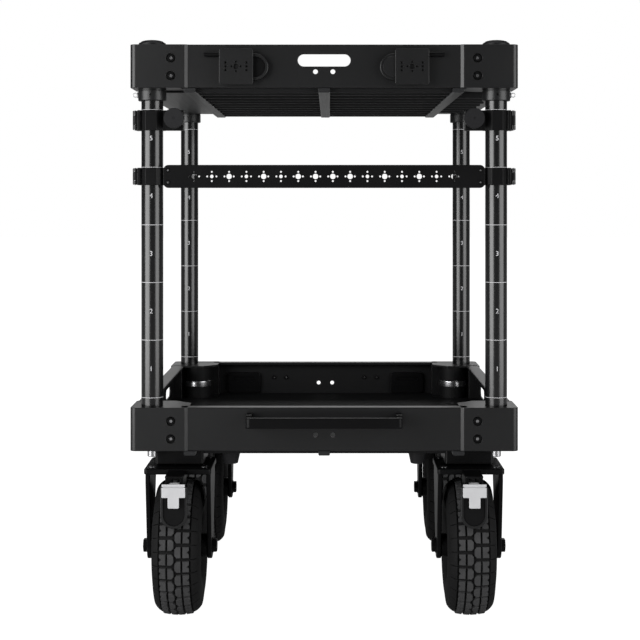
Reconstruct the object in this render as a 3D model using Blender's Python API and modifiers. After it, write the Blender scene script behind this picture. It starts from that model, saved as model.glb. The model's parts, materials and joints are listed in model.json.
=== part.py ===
"""Cart workstation: two open trays on four tube posts, a drilled bar on post clamps, four braked casters.

Metres, +Z up. The front of the cart, with the grab handle and the accessory plates, faces -Y.
The origin lies on the floor below the middle of the whole cart, handle included.
Run with: blender --background --python part.py
"""
import math

import bmesh
import bpy
from mathutils import Matrix, Vector

# Fits
FIT = 0.0003
BORE_FIT = 0.0003
RUNNING_FIT = 0.0005
OVERLAP = 0.0005
THROUGH = 0.010

# Trays
TRAY_WIDTH = 0.670
TRAY_LENGTH = 0.790
TRAY_HEIGHT = 0.075
SHELF_RISE = 0.6265
PANEL_RECESS = 0.003
PANEL_WALL = 0.003
PANEL_LIP = 0.0055
PANEL_FOOT = 0.0027
PANEL_FLANGE = 0.025
HAND_SLOT_LENGTH = 0.091
HAND_SLOT_HEIGHT = 0.021
HAND_SLOT_DROP = 0.0275
SIDE_SLOT_DROP = 0.046
SIDE_SLOT_SPACING = 0.380
PANEL_HOLE = 0.0084
PANEL_HOLE_SPACING = 0.030
PANEL_HOLE_DROP = 0.047
LATCH_BOX = (0.072, 0.008, 0.046)
LATCH_BOX_X = 0.181
LATCH_BOX_CORNER = 0.0077
LATCH_SLOT = (0.048, 0.009)
LATCH_SLOT_RISE = 0.0322

# Corner castings
CORNER_SIZE = 0.087
CORNER_RADIUS = 0.010
CORNER_BEVEL = 0.006
CORNER_CUT = 0.030
CORNER_WEB = 0.004
SCREW_IN = 0.0705
SCREW_DROPS = (0.0235, 0.054)
COUNTERBORE = 0.016
COUNTERBORE_DEPTH = 0.005
BAND_RADIUS = 0.030
BAND_IN = (0.056, 0.070)
BAND_RISE = 0.028
BAND_HEIGHT = 0.014
COLLAR_DIAMETER = 0.049
COLLAR_HEIGHT = 0.021
COLLAR_HOLE = 0.004
COLLAR_HOLE_DEPTH = 0.002

# Decks
DECK_THICKNESS = 0.002
RIB_COUNT = 9
RIB_PITCH = 0.076
RIB_WIDTH = 0.020
RAIL_WIDTH = 0.020
RAIL_DROP = 0.008
SIDE_RAIL_FROM_CASTER = 0.023
FOOT_X = 0.165
FOOT_FROM_END = 0.065
FOOT_TOP_RADIUS = 0.0185
FOOT_BOTTOM_RADIUS = 0.013
FOOT_HEIGHT = 0.028
SKID_THICKNESS = 0.003

# Posts
POST_INSET = 0.035
POST_DIAMETER = 0.038
POST_WALL = 0.0025
POST_PLUG = 0.008
CAP_DIAMETER = 0.047
CAP_HEIGHT = 0.0105
CAP_EDGE = 0.003
POST_BOLT_HEAD = 0.017
POST_BOLT_HEAD_HEIGHT = 0.014
POST_BOLT_SHANK = 0.008

# Pull pins in the collars
PIN_DIAMETER = 0.006
PIN_FLANGE = 0.010
PIN_FLANGE_THICKNESS = 0.002
PIN_ENGAGE = 0.0015
PIN_RING_RADIUS = 0.0035
PIN_RING_WIRE = 0.0009

# Grab handle on the lower front panel
HANDLE_WIDTH = 0.267
HANDLE_REACH = 0.054
HANDLE_BAR = 0.014
HANDLE_EAR = 0.010
HANDLE_HEIGHT = 0.018
HANDLE_EAR_HEIGHT = 0.023
HANDLE_DROP = 0.0205
HANDLE_CORNER = 0.008

# Accessory plates on the upper front panel
ACCESSORY_FROM_SIDE = 0.184
ACCESSORY_DROP = 0.0395
ACCESSORY_SIZE = (0.058, 0.061)
ACCESSORY_THICKNESS = 0.007
ACCESSORY_EDGE = 0.002
BOSS_DIAMETER = 0.046
BOSS_THICKNESS = 0.012
BOSS_END_IN = 0.032
BOSS_RIM = 0.005
BOSS_RECESS = 0.004
LATCH_PIN_DIAMETER = 0.010
LATCH_PIN_RISE = 0.022
LATCH_PIN_REACH = 0.056
CENTRE_HOLE = 0.0095
COLUMN_HOLE = 0.004
COLUMN_REACH = 0.018
COLUMN_PITCH = 0.008
ACCESSORY_HOLE_DEPTH = 0.005

# Cross-bar and clamps on the front posts
BAR_RISE = 0.399
BAR_END_FROM_POST = 0.021
BAR_HEIGHT = 0.040
BAR_THICKNESS = 0.006
BAR_FRONT = 0.019
BAR_CORNER = 0.009
BAR_HOLE_PITCH = 0.030
BAR_HOLE_COUNT = 16
SMALL_CENTRE_HOLE = 0.0062
CLAMP_ACROSS = 0.046
BAR_CLAMP_HEIGHT = 0.030
UPPER_CLAMP_HEIGHT = 0.035
UPPER_CLAMP_DROP = 0.055
CLAMP_EAR = 0.0055
CLAMP_EAR_WIDTH = 0.036
CLAMP_SLIT = 0.002
CLAMP_LUG_DEPTH = 0.017
BAR_LUG_REACH = 0.046
KNOB_LUG_REACH = 0.056
KNOB_DIAMETER = 0.036
KNOB_THICKNESS = 0.017
KNOB_FROM_POST = 0.040
KNOB_STEM = 0.010
KNOB_STEM_LENGTH = 0.014
KNOB_EDGE = 0.002
KNOB_OFFSET = 0.003
LEVER_THICKNESS = 0.008
LEVER_LENGTH = 0.052
LEVER_STRAIGHT = 0.0312
LEVER_TIP = 0.0025
LEVER_PIN = 0.005
LEVER_FORWARD = 0.012
LEVER_SLOT = 0.010

# Casters
CASTER_FROM_SIDE = 0.080
CASTER_FROM_END = 0.112
WHEEL_RADIUS = 0.120
TYRE_WIDTH = 0.085
TRAIL = 0.035
TYRE_CLEARANCE = 0.014
CROWN_THICKNESS = 0.010
CROWN_FRONT = 0.092
CROWN_BACK = 0.048
CROWN_CORNER = 0.006
LEG_CROWN_MARGIN = 0.0015
RACE_RADIUS = 0.036
RACE_HEIGHT = 0.002
ADAPTER_HEIGHT = 0.0314
ADAPTER_WIDTH = 0.085
ADAPTER_LENGTH = 0.110
KINGPIN_DIAMETER = 0.012
KINGPIN_LENGTH = 0.016
LEG_THICKNESS = 0.008
LEG_SPACING = 0.106
LEG_END_RADIUS = 0.022
LEG_FRONT = 0.080
LEG_BACK = 0.020
LEG_SHOULDER = 0.016
AXLE_DIAMETER = 0.016
AXLE_HEAD = 0.026
AXLE_HEAD_HEIGHT = 0.009
RIM_RADIUS = 0.052
RIM_WALL = 0.006
RIM_FLANGE_RADIUS = 0.058
RIM_HALF_WIDTH = 0.034
RIM_FLANGE = 0.003
HUB_RADIUS = 0.020
RIM_WEB = 0.010
TYRE_BULGE = 0.036
TYRE_SHOULDER = 0.058
TYRE_SHOULDER_NARROWING = 0.006
TREAD_WIDTH = 0.038

# Wheel brake in front of the tyre
BRAKE_GAP = 0.0043
HOUSING_WIDTH = 0.046
HOUSING_THICKNESS = 0.008
HOUSING_DROP = 0.081
HOUSING_RIM = 0.0045
HOUSING_RECESS = 0.003
HOUSING_TOP_DROP = 0.010
NECK_WIDTH = 0.031
NECK_TOP = 0.008
NECK_ROOF = 0.004
NECK_SIDE = 0.0065
NECK_BASE_DROP = 0.022
PEDAL_WIDTH = 0.040
PEDAL_HEIGHT = 0.023
PEDAL_SHEET = 0.004
PEDAL_STAND_OFF = 0.004
PEDAL_DROP = 0.004
TONGUE_WIDTH = 0.019
TONGUE_HEIGHT = 0.018
TONGUE_SHEET = 0.003
PEDAL_ARM = (0.014, 0.009)
PEDAL_BARREL = 0.013
PEDAL_PIN = 0.006
PEDAL_PIN_DROP = 0.011
PEDAL_PIN_BEHIND = 0.019

# Round forms, in sides
TUBE_SIDES = 12
WHEEL_SIDES = 20
RIM_SIDES = 12
HOLE_SIDES = 10
SCREW_SIDES = 8
SMALL_HOLE_SIDES = 4
HEAD_SIDES = 6
CLAMP_SIDES = 8
ARC_STEPS = 2
HALF_ROUND_STEPS = 6
FLAT_ANGLE = math.radians(0.5)
SHARP_ANGLE = math.radians(35)

# Places worked out from the sizes above
HALF_WIDTH = TRAY_WIDTH / 2
HALF_LENGTH = TRAY_LENGTH / 2
POST_X = HALF_WIDTH - POST_INSET
POST_Y = HALF_LENGTH - POST_INSET
POST_RADIUS = POST_DIAMETER / 2
PANEL_FACE = HALF_LENGTH - PANEL_RECESS
CROWN_BOTTOM = 2 * WHEEL_RADIUS + TYRE_CLEARANCE
CROWN_TOP = CROWN_BOTTOM + CROWN_THICKNESS
ADAPTER_BOTTOM = CROWN_TOP + RACE_HEIGHT + FIT
LOWER_BOTTOM = ADAPTER_BOTTOM + ADAPTER_HEIGHT + FIT
UPPER_BOTTOM = LOWER_BOTTOM + SHELF_RISE
UPPER_TOP = UPPER_BOTTOM + TRAY_HEIGHT
CASTER_X = HALF_WIDTH - CASTER_FROM_SIDE
CASTER_Y = HALF_LENGTH - CASTER_FROM_END
SIDE_RAIL_X = CASTER_X - SIDE_RAIL_FROM_CASTER
ACCESSORY_X = HALF_WIDTH - ACCESSORY_FROM_SIDE
DECK_BOTTOM = PANEL_FOOT + FIT
PIN_DROP = COLLAR_HEIGHT / 2
BAR_CENTRE = LOWER_BOTTOM + TRAY_HEIGHT + BAR_RISE
UPPER_CLAMP_CENTRE = UPPER_BOTTOM - UPPER_CLAMP_DROP
CLAMP_OUT = CLAMP_ACROSS / 2 + CLAMP_EAR / 4
LEVER_OUT = CLAMP_OUT + FIT + LEVER_THICKNESS / 2
LUG_FRONT = BAR_FRONT - BAR_THICKNESS - FIT
FORK_INSIDE = (LEG_SPACING - LEG_THICKNESS) / 2
HOUSING_REACH = WHEEL_RADIUS + TYRE_CLEARANCE - HOUSING_DROP
HOUSING_BACK = TRAIL + math.sqrt(WHEEL_RADIUS ** 2 - HOUSING_REACH ** 2) + BRAKE_GAP
PEDAL_BACK = HOUSING_BACK + HOUSING_THICKNESS + PEDAL_STAND_OFF
PEDAL_PIN_Y = PEDAL_BACK - PEDAL_PIN_BEHIND
PEDAL_PIN_Z = CROWN_BOTTOM - PEDAL_PIN_DROP
FORWARD_EXTENT = PANEL_FACE + HANDLE_REACH
ORIGIN_SHIFT = (FORWARD_EXTENT - HALF_LENGTH) / 2

CORNERS = {
    "front_left": (-1, -1),
    "front_right": (1, -1),
    "rear_left": (-1, 1),
    "rear_right": (1, 1),
}
AXIS_TURN = {
    "X": Matrix.Rotation(math.radians(90), 4, "Y"),
    "Y": Matrix.Rotation(math.radians(90), 4, "X"),
    "Z": Matrix.Identity(4),
}
FINISHES = {
    "black_anodised": ((0.030, 0.031, 0.033), 0.42, 0.85),
    "black_tube": ((0.022, 0.022, 0.024), 0.30, 0.90),
    "black_sheet": ((0.040, 0.040, 0.042), 0.55, 0.60),
    "black_steel": ((0.012, 0.012, 0.013), 0.45, 0.70),
    "black_plastic": ((0.015, 0.015, 0.016), 0.50, 0.00),
    "grey_metal": ((0.640, 0.645, 0.655), 0.32, 0.90),
    "tyre_rubber": ((0.025, 0.025, 0.026), 0.75, 0.00),
    "rim_paint": ((0.050, 0.050, 0.052), 0.45, 0.20),
}


# Modelling helpers

def clear_scene():
    """Remove the objects of the startup scene."""
    for item in list(bpy.data.objects):
        bpy.data.objects.remove(item, do_unlink=True)


def new_collection(name):
    """A collection linked to the scene."""
    collection = bpy.data.collections.new(name)
    bpy.context.scene.collection.children.link(collection)
    return collection


def new_empty(name, location, parent=None):
    """An empty that carries the pieces of one body."""
    empty = bpy.data.objects.new(name, None)
    empty.empty_display_size = 0.05
    empty.location = location
    empty.parent = parent
    PARTS.objects.link(empty)
    return empty


def add_mesh(bm, name, parent, location=(0, 0, 0)):
    """Turn a bmesh into an object of the parts collection."""
    bmesh.ops.recalc_face_normals(bm, faces=bm.faces)
    mesh = bpy.data.meshes.new(name)
    bm.to_mesh(mesh)
    bm.free()
    mesh.shade_smooth()
    mesh.set_sharp_from_angle(angle=SHARP_ANGLE)
    item = bpy.data.objects.new(name, mesh)
    item.location = location
    item.parent = parent
    PARTS.objects.link(item)
    return item


def as_tool(item, parent):
    """Make an object a hidden cutter or union partner, in the frame of the piece that it shapes."""
    item.parent = parent
    item.hide_render = True
    item.display_type = "WIRE"
    PARTS.objects.unlink(item)
    TOOLS.objects.link(item)


def boolean(target, tool, operation):
    """Add one exact Boolean to a piece."""
    as_tool(tool, target)
    modifier = target.modifiers.new(tool.name, "BOOLEAN")
    modifier.operation = operation
    modifier.object = tool


def carve(target, tool):
    """Cut a tool out of a piece."""
    boolean(target, tool, "DIFFERENCE")


def fuse(target, tool):
    """Join a tool to a piece as one solid."""
    boolean(target, tool, "UNION")


def boxes(name, corners, parent=None):
    """Blocks given by their low and high corners, in one mesh."""
    bm = bmesh.new()
    for low, high in corners:
        low = Vector(low)
        high = Vector(high)
        size = high - low
        place = Matrix.Translation((low + high) / 2) @ Matrix.Diagonal((*size, 1))
        bmesh.ops.create_cube(bm, size=1.0, matrix=place)
    return add_mesh(bm, name, parent)


def rods(name, places, axis, parent=None, flats=False):
    """Cylinders or cones along one axis, in one mesh: each is a centre, two radii, a length and its sides.

    With flats, the first side faces the cross axis, as on a hexagon head or an octagon, and not a corner.
    """
    bm = bmesh.new()
    for centre, radius, end_radius, length, sides in places:
        half_step = math.pi / sides if flats else 0
        place = Matrix.Translation(centre) @ AXIS_TURN[axis] @ Matrix.Rotation(half_step, 4, "Z")
        bmesh.ops.create_cone(bm, cap_ends=True, segments=sides, radius1=radius, radius2=end_radius,
                              depth=length, matrix=place)
    return add_mesh(bm, name, parent)


def rod(name, centre, radius, length, axis, sides=HOLE_SIDES, parent=None):
    """One cylinder along an axis, about its centre."""
    return rods(name, [(centre, radius, radius, length, sides)], axis, parent)


def outline(name, points, thickness, parent=None):
    """A flat outline in XY, thick along Z about its own plane, as a welded mesh."""
    curve = bpy.data.curves.new(name, "CURVE")
    curve.dimensions = "2D"
    curve.fill_mode = "BOTH"
    curve.extrude = thickness / 2
    spline = curve.splines.new("POLY")
    spline.points.add(len(points) - 1)
    for point, (x, y) in zip(spline.points, points):
        point.co = (x, y, 0, 1)
    spline.use_cyclic_u = True
    guide = bpy.data.objects.new(name, curve)
    PARTS.objects.link(guide)
    graph = bpy.context.evaluated_depsgraph_get()
    mesh = bpy.data.meshes.new_from_object(guide.evaluated_get(graph))
    bpy.data.objects.remove(guide, do_unlink=True)
    bm = bmesh.new()
    bm.from_mesh(mesh)
    bpy.data.meshes.remove(mesh)
    bmesh.ops.remove_doubles(bm, verts=bm.verts, dist=0.00001)
    bmesh.ops.dissolve_limit(bm, angle_limit=FLAT_ANGLE, verts=bm.verts, edges=bm.edges)
    return add_mesh(bm, name, parent)


def front_outline(name, points, thickness, centre_y, parent=None):
    """An outline drawn in the front view, X and Z, thick along Y."""
    item = outline(name, points, thickness, parent)
    item.data.transform(Matrix.Translation((0, centre_y, 0)) @ Matrix.Rotation(math.radians(90), 4, "X"))
    return item


def side_outline(name, points, thickness, centre_x, parent=None):
    """An outline drawn in the side view, Y and Z, thick along X."""
    item = outline(name, points, thickness, parent)
    stand = Matrix.Rotation(math.radians(90), 4, "Z") @ Matrix.Rotation(math.radians(90), 4, "X")
    item.data.transform(Matrix.Translation((centre_x, 0, 0)) @ stand)
    return item


def arc(centre, radius, start, end, steps=ARC_STEPS):
    """Points on an arc, angles in degrees, both ends included."""
    points = []
    for step in range(steps + 1):
        angle = math.radians(start + (end - start) * step / steps)
        points.append((centre[0] + radius * math.cos(angle), centre[1] + radius * math.sin(angle)))
    return points


def stadium(centre, length, height):
    """A slot outline with full round ends."""
    radius = height / 2
    reach = length / 2 - radius
    right = arc((centre[0] + reach, centre[1]), radius, -90, 90, HALF_ROUND_STEPS)
    left = arc((centre[0] - reach, centre[1]), radius, 90, 270, HALF_ROUND_STEPS)
    return right + left


def rounded_rectangle(low, high, radius):
    """A rectangle outline with rounded corners."""
    points = []
    for x, y, start in ((high[0] - radius, high[1] - radius, 0), (low[0] + radius, high[1] - radius, 90),
                        (low[0] + radius, low[1] + radius, 180), (high[0] - radius, low[1] + radius, 270)):
        points += arc((x, y), radius, start, start + 90)
    return points


def turned(name, profile, sides, parent, closed=False):
    """A profile of (radius, height) points carried once round Z by a Screw modifier."""
    bm = bmesh.new()
    ring = [bm.verts.new((radius, 0, height)) for radius, height in profile]
    for first, second in zip(ring, ring[1:]):
        bm.edges.new((first, second))
    if closed:
        bm.edges.new((ring[-1], ring[0]))
    item = add_mesh(bm, name, parent)
    screw = item.modifiers.new("turn", "SCREW")
    screw.axis = "Z"
    screw.angle = math.tau
    screw.steps = sides
    screw.render_steps = sides
    screw.use_merge_vertices = True
    screw.merge_threshold = 0.00001
    screw.use_smooth_shade = True
    return item


def paint(item, finish):
    """Give a piece its own Principled material, and merge the faces of each of its planes."""
    colour, roughness, metallic = FINISHES[finish]
    material = bpy.data.materials.new(f"{item.name}_{finish}")
    material.use_nodes = True
    shader = material.node_tree.nodes["Principled BSDF"]
    shader.inputs["Base Color"].default_value = (*colour, 1)
    shader.inputs["Roughness"].default_value = roughness
    shader.inputs["Metallic"].default_value = metallic
    item.data.materials.clear()
    item.data.materials.append(material)
    flat = item.modifiers.new("flat_faces", "DECIMATE")
    flat.decimate_type = "DISSOLVE"
    flat.angle_limit = FLAT_ANGLE
    return item


# Trays

def corner_points():
    """Plan of the corner casting at +X and +Y: outer radius, bevels to the panels and an inner diagonal."""
    inner_x = HALF_WIDTH - CORNER_SIZE
    inner_y = HALF_LENGTH - CORNER_SIZE
    points = [
        (inner_x + CORNER_CUT, inner_y),
        (HALF_WIDTH - PANEL_RECESS, inner_y),
        (HALF_WIDTH, inner_y + CORNER_BEVEL),
    ]
    points += arc((HALF_WIDTH - CORNER_RADIUS, HALF_LENGTH - CORNER_RADIUS), CORNER_RADIUS, 0, 90)
    points += [
        (inner_x + CORNER_BEVEL, HALF_LENGTH),
        (inner_x, HALF_LENGTH - PANEL_RECESS),
        (inner_x, inner_y + CORNER_CUT),
    ]
    return points


def corner(level, place, bottom):
    """One corner casting with its post bore and the counterbores of its end screws."""
    side, end = CORNERS[place]
    name = f"{level}_corner_{place}"
    points = [(x * side, y * end) for x, y in corner_points()]
    block = outline(name, points, TRAY_HEIGHT, CART)
    block.location = (0, 0, bottom + TRAY_HEIGHT / 2)
    post = (side * POST_X, end * POST_Y)
    bore = POST_RADIUS + BORE_FIT
    half = TRAY_HEIGHT / 2
    if level == "upper":
        collar = rod(f"{name}_collar", (*post, -half - COLLAR_HEIGHT / 2 + OVERLAP / 2), COLLAR_DIAMETER / 2,
                     COLLAR_HEIGHT + OVERLAP, "Z", TUBE_SIDES)
        fuse(block, collar)
        length = TRAY_HEIGHT + COLLAR_HEIGHT + 2 * THROUGH
        carve(block, rod(f"{name}_bore", (*post, -COLLAR_HEIGHT / 2), bore, length, "Z", TUBE_SIDES))
        pin_z = -half - PIN_DROP
        reach = COLLAR_DIAMETER / 2
        pin_hole = rod(f"{name}_pin_hole", (side * (POST_X + reach), post[1], pin_z),
                       PIN_DIAMETER / 2 + BORE_FIT, reach, "X", SCREW_SIDES)
        carve(block, pin_hole)
        dimple = rod(f"{name}_dimple", (post[0], end * POST_Y - reach, pin_z), COLLAR_HOLE / 2,
                     2 * COLLAR_HOLE_DEPTH, "Y", SMALL_HOLE_SIDES)
        carve(block, dimple)
    else:
        band_x = side * (HALF_WIDTH - BAND_IN[0])
        band_y = end * (HALF_LENGTH - BAND_IN[1])
        band_z = BAND_RISE + BAND_HEIGHT / 2 - half
        band = rod(f"{name}_band", (band_x, band_y, band_z), BAND_RADIUS, BAND_HEIGHT, "Z", TUBE_SIDES)
        fuse(block, band)
        depth = TRAY_HEIGHT - CORNER_WEB
        carve(block, rod(f"{name}_bore", (*post, (CORNER_WEB + THROUGH) / 2), bore, depth + THROUGH, "Z",
                         TUBE_SIDES))
        shank = POST_BOLT_SHANK / 2 + BORE_FIT
        carve(block, rod(f"{name}_bolt_hole", (*post, -half), shank, 4 * CORNER_WEB, "Z"))
    screws = []
    for drop in SCREW_DROPS:
        centre = (side * (HALF_WIDTH - SCREW_IN), end * HALF_LENGTH, half - drop)
        screws.append((centre, COUNTERBORE / 2, COUNTERBORE / 2, 2 * COUNTERBORE_DEPTH, SCREW_SIDES))
    carve(block, rods(f"{name}_counterbores", screws, "Y"))
    return paint(block, "black_anodised")


def channel(name, length):
    """A C section wall along X with its plain face at Y 0, facing -Y, and its foot at Z 0."""
    section = [
        (0, 0),
        (PANEL_FLANGE, 0),
        (PANEL_FLANGE, PANEL_FOOT),
        (PANEL_WALL, PANEL_FOOT),
        (PANEL_WALL, TRAY_HEIGHT - PANEL_LIP),
        (PANEL_FLANGE, TRAY_HEIGHT - PANEL_LIP),
        (PANEL_FLANGE, TRAY_HEIGHT),
        (0, TRAY_HEIGHT),
    ]
    return side_outline(name, section, length, 0, CART)


def panel(level, place, bottom):
    """One wall of a tray, between two corner castings."""
    ends = {"front": (0, -PANEL_FACE, 0), "rear": (0, PANEL_FACE, 180),
            "left": (-(HALF_WIDTH - PANEL_RECESS), 0, -90), "right": (HALF_WIDTH - PANEL_RECESS, 0, 90)}
    x, y, turn = ends[place]
    across = TRAY_LENGTH if place in ("left", "right") else TRAY_WIDTH
    wall = channel(f"{level}_{place}_panel", across - 2 * (CORNER_SIZE + FIT))
    wall.location = (x, y, bottom)
    wall.rotation_euler = (0, 0, math.radians(turn))
    cut = 4 * PANEL_WALL
    if place in ("front", "rear"):
        z = TRAY_HEIGHT - PANEL_HOLE_DROP
        holes = [((side * PANEL_HOLE_SPACING / 2, PANEL_WALL / 2, z), PANEL_HOLE / 2, PANEL_HOLE / 2, cut,
                  HOLE_SIDES) for side in (-1, 1)]
        carve(wall, rods(f"{wall.name}_holes", holes, "Y"))
    if level == "upper" and place in ("front", "rear"):
        slot = stadium((0, TRAY_HEIGHT - HAND_SLOT_DROP), HAND_SLOT_LENGTH, HAND_SLOT_HEIGHT)
        carve(wall, front_outline(f"{wall.name}_hand_slot", slot, cut, PANEL_WALL / 2))
    if level == "lower" and place in ("left", "right"):
        for side in (-1, 1):
            slot = stadium((side * SIDE_SLOT_SPACING / 2, TRAY_HEIGHT - SIDE_SLOT_DROP), HAND_SLOT_LENGTH,
                           HAND_SLOT_HEIGHT)
            carve(wall, front_outline(f"{wall.name}_hand_slot_{side + 1}", slot, cut, PANEL_WALL / 2))
    if level == "lower" and place == "rear":
        latch_boxes(wall)
    return paint(wall, "black_anodised")


def latch_boxes(wall):
    """The two shallow housings with a finger slot on the inner face of the lower rear wall."""
    width, depth, height = LATCH_BOX
    low_z = PANEL_FOOT + DECK_THICKNESS + 2 * FIT
    for side in (-1, 1):
        x = side * LATCH_BOX_X
        housing = rounded_rectangle((x - width / 2, low_z), (x + width / 2, low_z + height), LATCH_BOX_CORNER)
        fuse(wall, front_outline(f"latch_housing_{side + 1}", housing, depth + OVERLAP,
                                 PANEL_WALL + (depth - OVERLAP) / 2))
        slot = stadium((x, low_z + LATCH_SLOT_RISE), *LATCH_SLOT)
        carve(wall, front_outline(f"latch_slot_{side + 1}", slot, depth, PANEL_WALL + depth))


def deck_notch_points(side, end):
    """Plan of what the deck leaves free round one corner casting."""
    near_x = HALF_WIDTH - CORNER_SIZE - FIT
    near_y = HALF_LENGTH - CORNER_SIZE - FIT
    cut = CORNER_CUT + FIT * (2 - math.sqrt(2))
    points = [(near_x + cut, near_y), (HALF_WIDTH, near_y), (HALF_WIDTH, HALF_LENGTH), (near_x, HALF_LENGTH),
              (near_x, near_y + cut)]
    return [(side * x, end * y) for x, y in points]


def rib_half_length(y):
    """How far a rib reaches from the middle: short beside the corner castings."""
    beside_corner = abs(y) + RIB_WIDTH / 2 > HALF_LENGTH - CORNER_SIZE - FIT
    if beside_corner:
        return HALF_WIDTH - CORNER_SIZE - 2 * FIT
    return HALF_WIDTH - PANEL_RECESS - PANEL_FLANGE - 2 * FIT


def rail_points(to_bottom, clear_y):
    """Side outline of a rail: up to the plate between the walls, and low enough to pass under their feet."""
    low = to_bottom - RAIL_DROP
    under_foot = to_bottom - FIT
    root = to_bottom + DECK_BOTTOM + OVERLAP / 2
    return [(-PANEL_FACE, low), (PANEL_FACE, low), (PANEL_FACE, under_foot), (clear_y, under_foot),
            (clear_y, root), (-clear_y, root), (-clear_y, under_foot), (-PANEL_FACE, under_foot)]


def deck(level, bottom):
    """A thin floor on the wall feet, with cross ribs and three long rails below it."""
    name = f"{level}_deck"
    out_x = HALF_WIDTH - PANEL_RECESS - PANEL_WALL - FIT
    out_y = PANEL_FACE - PANEL_WALL - FIT
    half = DECK_THICKNESS / 2
    plate = boxes(name, [((-out_x, -out_y, -half), (out_x, out_y, half))], CART)
    plate.location = (0, 0, bottom + DECK_BOTTOM + half)
    for place, (side, end) in CORNERS.items():
        carve(plate, outline(f"{name}_notch_{place}", deck_notch_points(side, end), THROUGH))
    to_bottom = -(DECK_BOTTOM + DECK_THICKNESS / 2)
    rib_top = to_bottom + DECK_BOTTOM + OVERLAP
    ribs = []
    for index in range(RIB_COUNT):
        y = (index - (RIB_COUNT - 1) / 2) * RIB_PITCH
        reach = rib_half_length(y)
        ribs.append(((-reach, y - RIB_WIDTH / 2, to_bottom), (reach, y + RIB_WIDTH / 2, rib_top)))
    fuse(plate, boxes(f"{name}_ribs", ribs))
    clear_y = PANEL_FACE - PANEL_FLANGE - 2 * FIT
    for label, x in (("left", -SIDE_RAIL_X), ("middle", 0), ("right", SIDE_RAIL_X)):
        fuse(plate, side_outline(f"{name}_{label}_rail", rail_points(to_bottom, clear_y), RAIL_WIDTH, x))
    if level == "lower":
        feet = []
        length = FOOT_HEIGHT + DECK_BOTTOM + OVERLAP
        for side, end in CORNERS.values():
            centre = (side * FOOT_X, end * (HALF_LENGTH - FOOT_FROM_END), rib_top - length / 2)
            feet.append((centre, FOOT_BOTTOM_RADIUS, FOOT_TOP_RADIUS, length, HOLE_SIDES))
        fuse(plate, rods(f"{name}_feet", feet, "Z"))
    else:
        skid_y = POST_Y - COLLAR_DIAMETER / 2 - 2 * RAIL_DROP
        skid_top = to_bottom - 2 * FIT
        skid = ((-(HALF_WIDTH - PANEL_RECESS - PANEL_FLANGE), -skid_y, skid_top - SKID_THICKNESS),
                (-SIDE_RAIL_X, skid_y, skid_top))
        fuse(plate, boxes(f"{name}_skid", [skid]))
    return paint(plate, "black_sheet")


def tray(level, bottom):
    """Four corner castings, four walls and a deck."""
    for place in CORNERS:
        corner(level, place, bottom)
    for place in ("front", "rear", "left", "right"):
        panel(level, place, bottom)
    deck(level, bottom)


# Posts

def post(place):
    """A tube with its domed cap above the upper tray and its bolt below the lower one."""
    side, end = CORNERS[place]
    foot = LOWER_BOTTOM + CORNER_WEB + FIT
    cap_bottom = UPPER_TOP + FIT
    cap_top = UPPER_TOP + CAP_HEIGHT
    head_top = LOWER_BOTTOM - FIT
    cap = CAP_DIAMETER / 2
    profile = [
        (0, cap_top),
        (cap - CAP_EDGE, cap_top),
        (cap, cap_top - CAP_EDGE),
        (cap, cap_bottom),
        (POST_RADIUS, cap_bottom),
        (POST_RADIUS, foot),
        (POST_BOLT_SHANK / 2, foot),
        (POST_BOLT_SHANK / 2, head_top),
        (POST_BOLT_HEAD / 2, head_top),
        (POST_BOLT_HEAD / 2, head_top - POST_BOLT_HEAD_HEIGHT),
        (0, head_top - POST_BOLT_HEAD_HEIGHT),
    ]
    tube = turned(f"post_{place}", profile, TUBE_SIDES, CART)
    tube.location = (side * POST_X, end * POST_Y, 0)
    hollow_low = foot + POST_PLUG
    hollow = rod(f"{tube.name}_hollow", (0, 0, (hollow_low + UPPER_TOP) / 2), POST_RADIUS - POST_WALL,
                 UPPER_TOP - hollow_low, "Z", TUBE_SIDES)
    carve(tube, hollow)
    pin_hole = rod(f"{tube.name}_pin_hole", (side * POST_RADIUS, 0, UPPER_BOTTOM - PIN_DROP),
                   PIN_DIAMETER / 2 + BORE_FIT, POST_RADIUS, "X", SCREW_SIDES)
    carve(tube, pin_hole)
    return paint(tube, "black_tube")


def pull_pin(place):
    """A spring pin through the collar into the post, with a flange and a wire ring outside."""
    side, end = CORNERS[place]
    middle = (side * POST_X, end * POST_Y, UPPER_BOTTOM - PIN_DROP)
    carrier = new_empty(f"axis_pull_pin_{place}", middle, CART)
    flange_in = COLLAR_DIAMETER / 2 + FIT
    inner = POST_RADIUS - POST_WALL - PIN_ENGAGE
    outer = flange_in + PIN_FLANGE_THICKNESS
    pin = rod(f"pull_pin_{place}", (side * (inner + outer - OVERLAP) / 2, 0, 0), PIN_DIAMETER / 2,
              outer - OVERLAP - inner, "X", SCREW_SIDES, carrier)
    flange = rod(f"{pin.name}_flange", (side * (flange_in + outer) / 2, 0, 0), PIN_FLANGE / 2,
                 PIN_FLANGE_THICKNESS, "X", SCREW_SIDES)
    fuse(pin, flange)
    ring_x = side * (outer + PIN_RING_RADIUS - PIN_RING_WIRE / 2)
    bpy.ops.mesh.primitive_torus_add(major_segments=SCREW_SIDES, minor_segments=4,
                                     major_radius=PIN_RING_RADIUS, minor_radius=PIN_RING_WIRE,
                                     rotation=(math.radians(90), 0, 0), location=(ring_x, 0, 0))
    ring = bpy.context.object
    ring.name = f"{pin.name}_ring"
    bpy.context.collection.objects.unlink(ring)
    PARTS.objects.link(ring)
    fuse(pin, ring)
    return paint(pin, "grey_metal")


# Pieces on the trays

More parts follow.
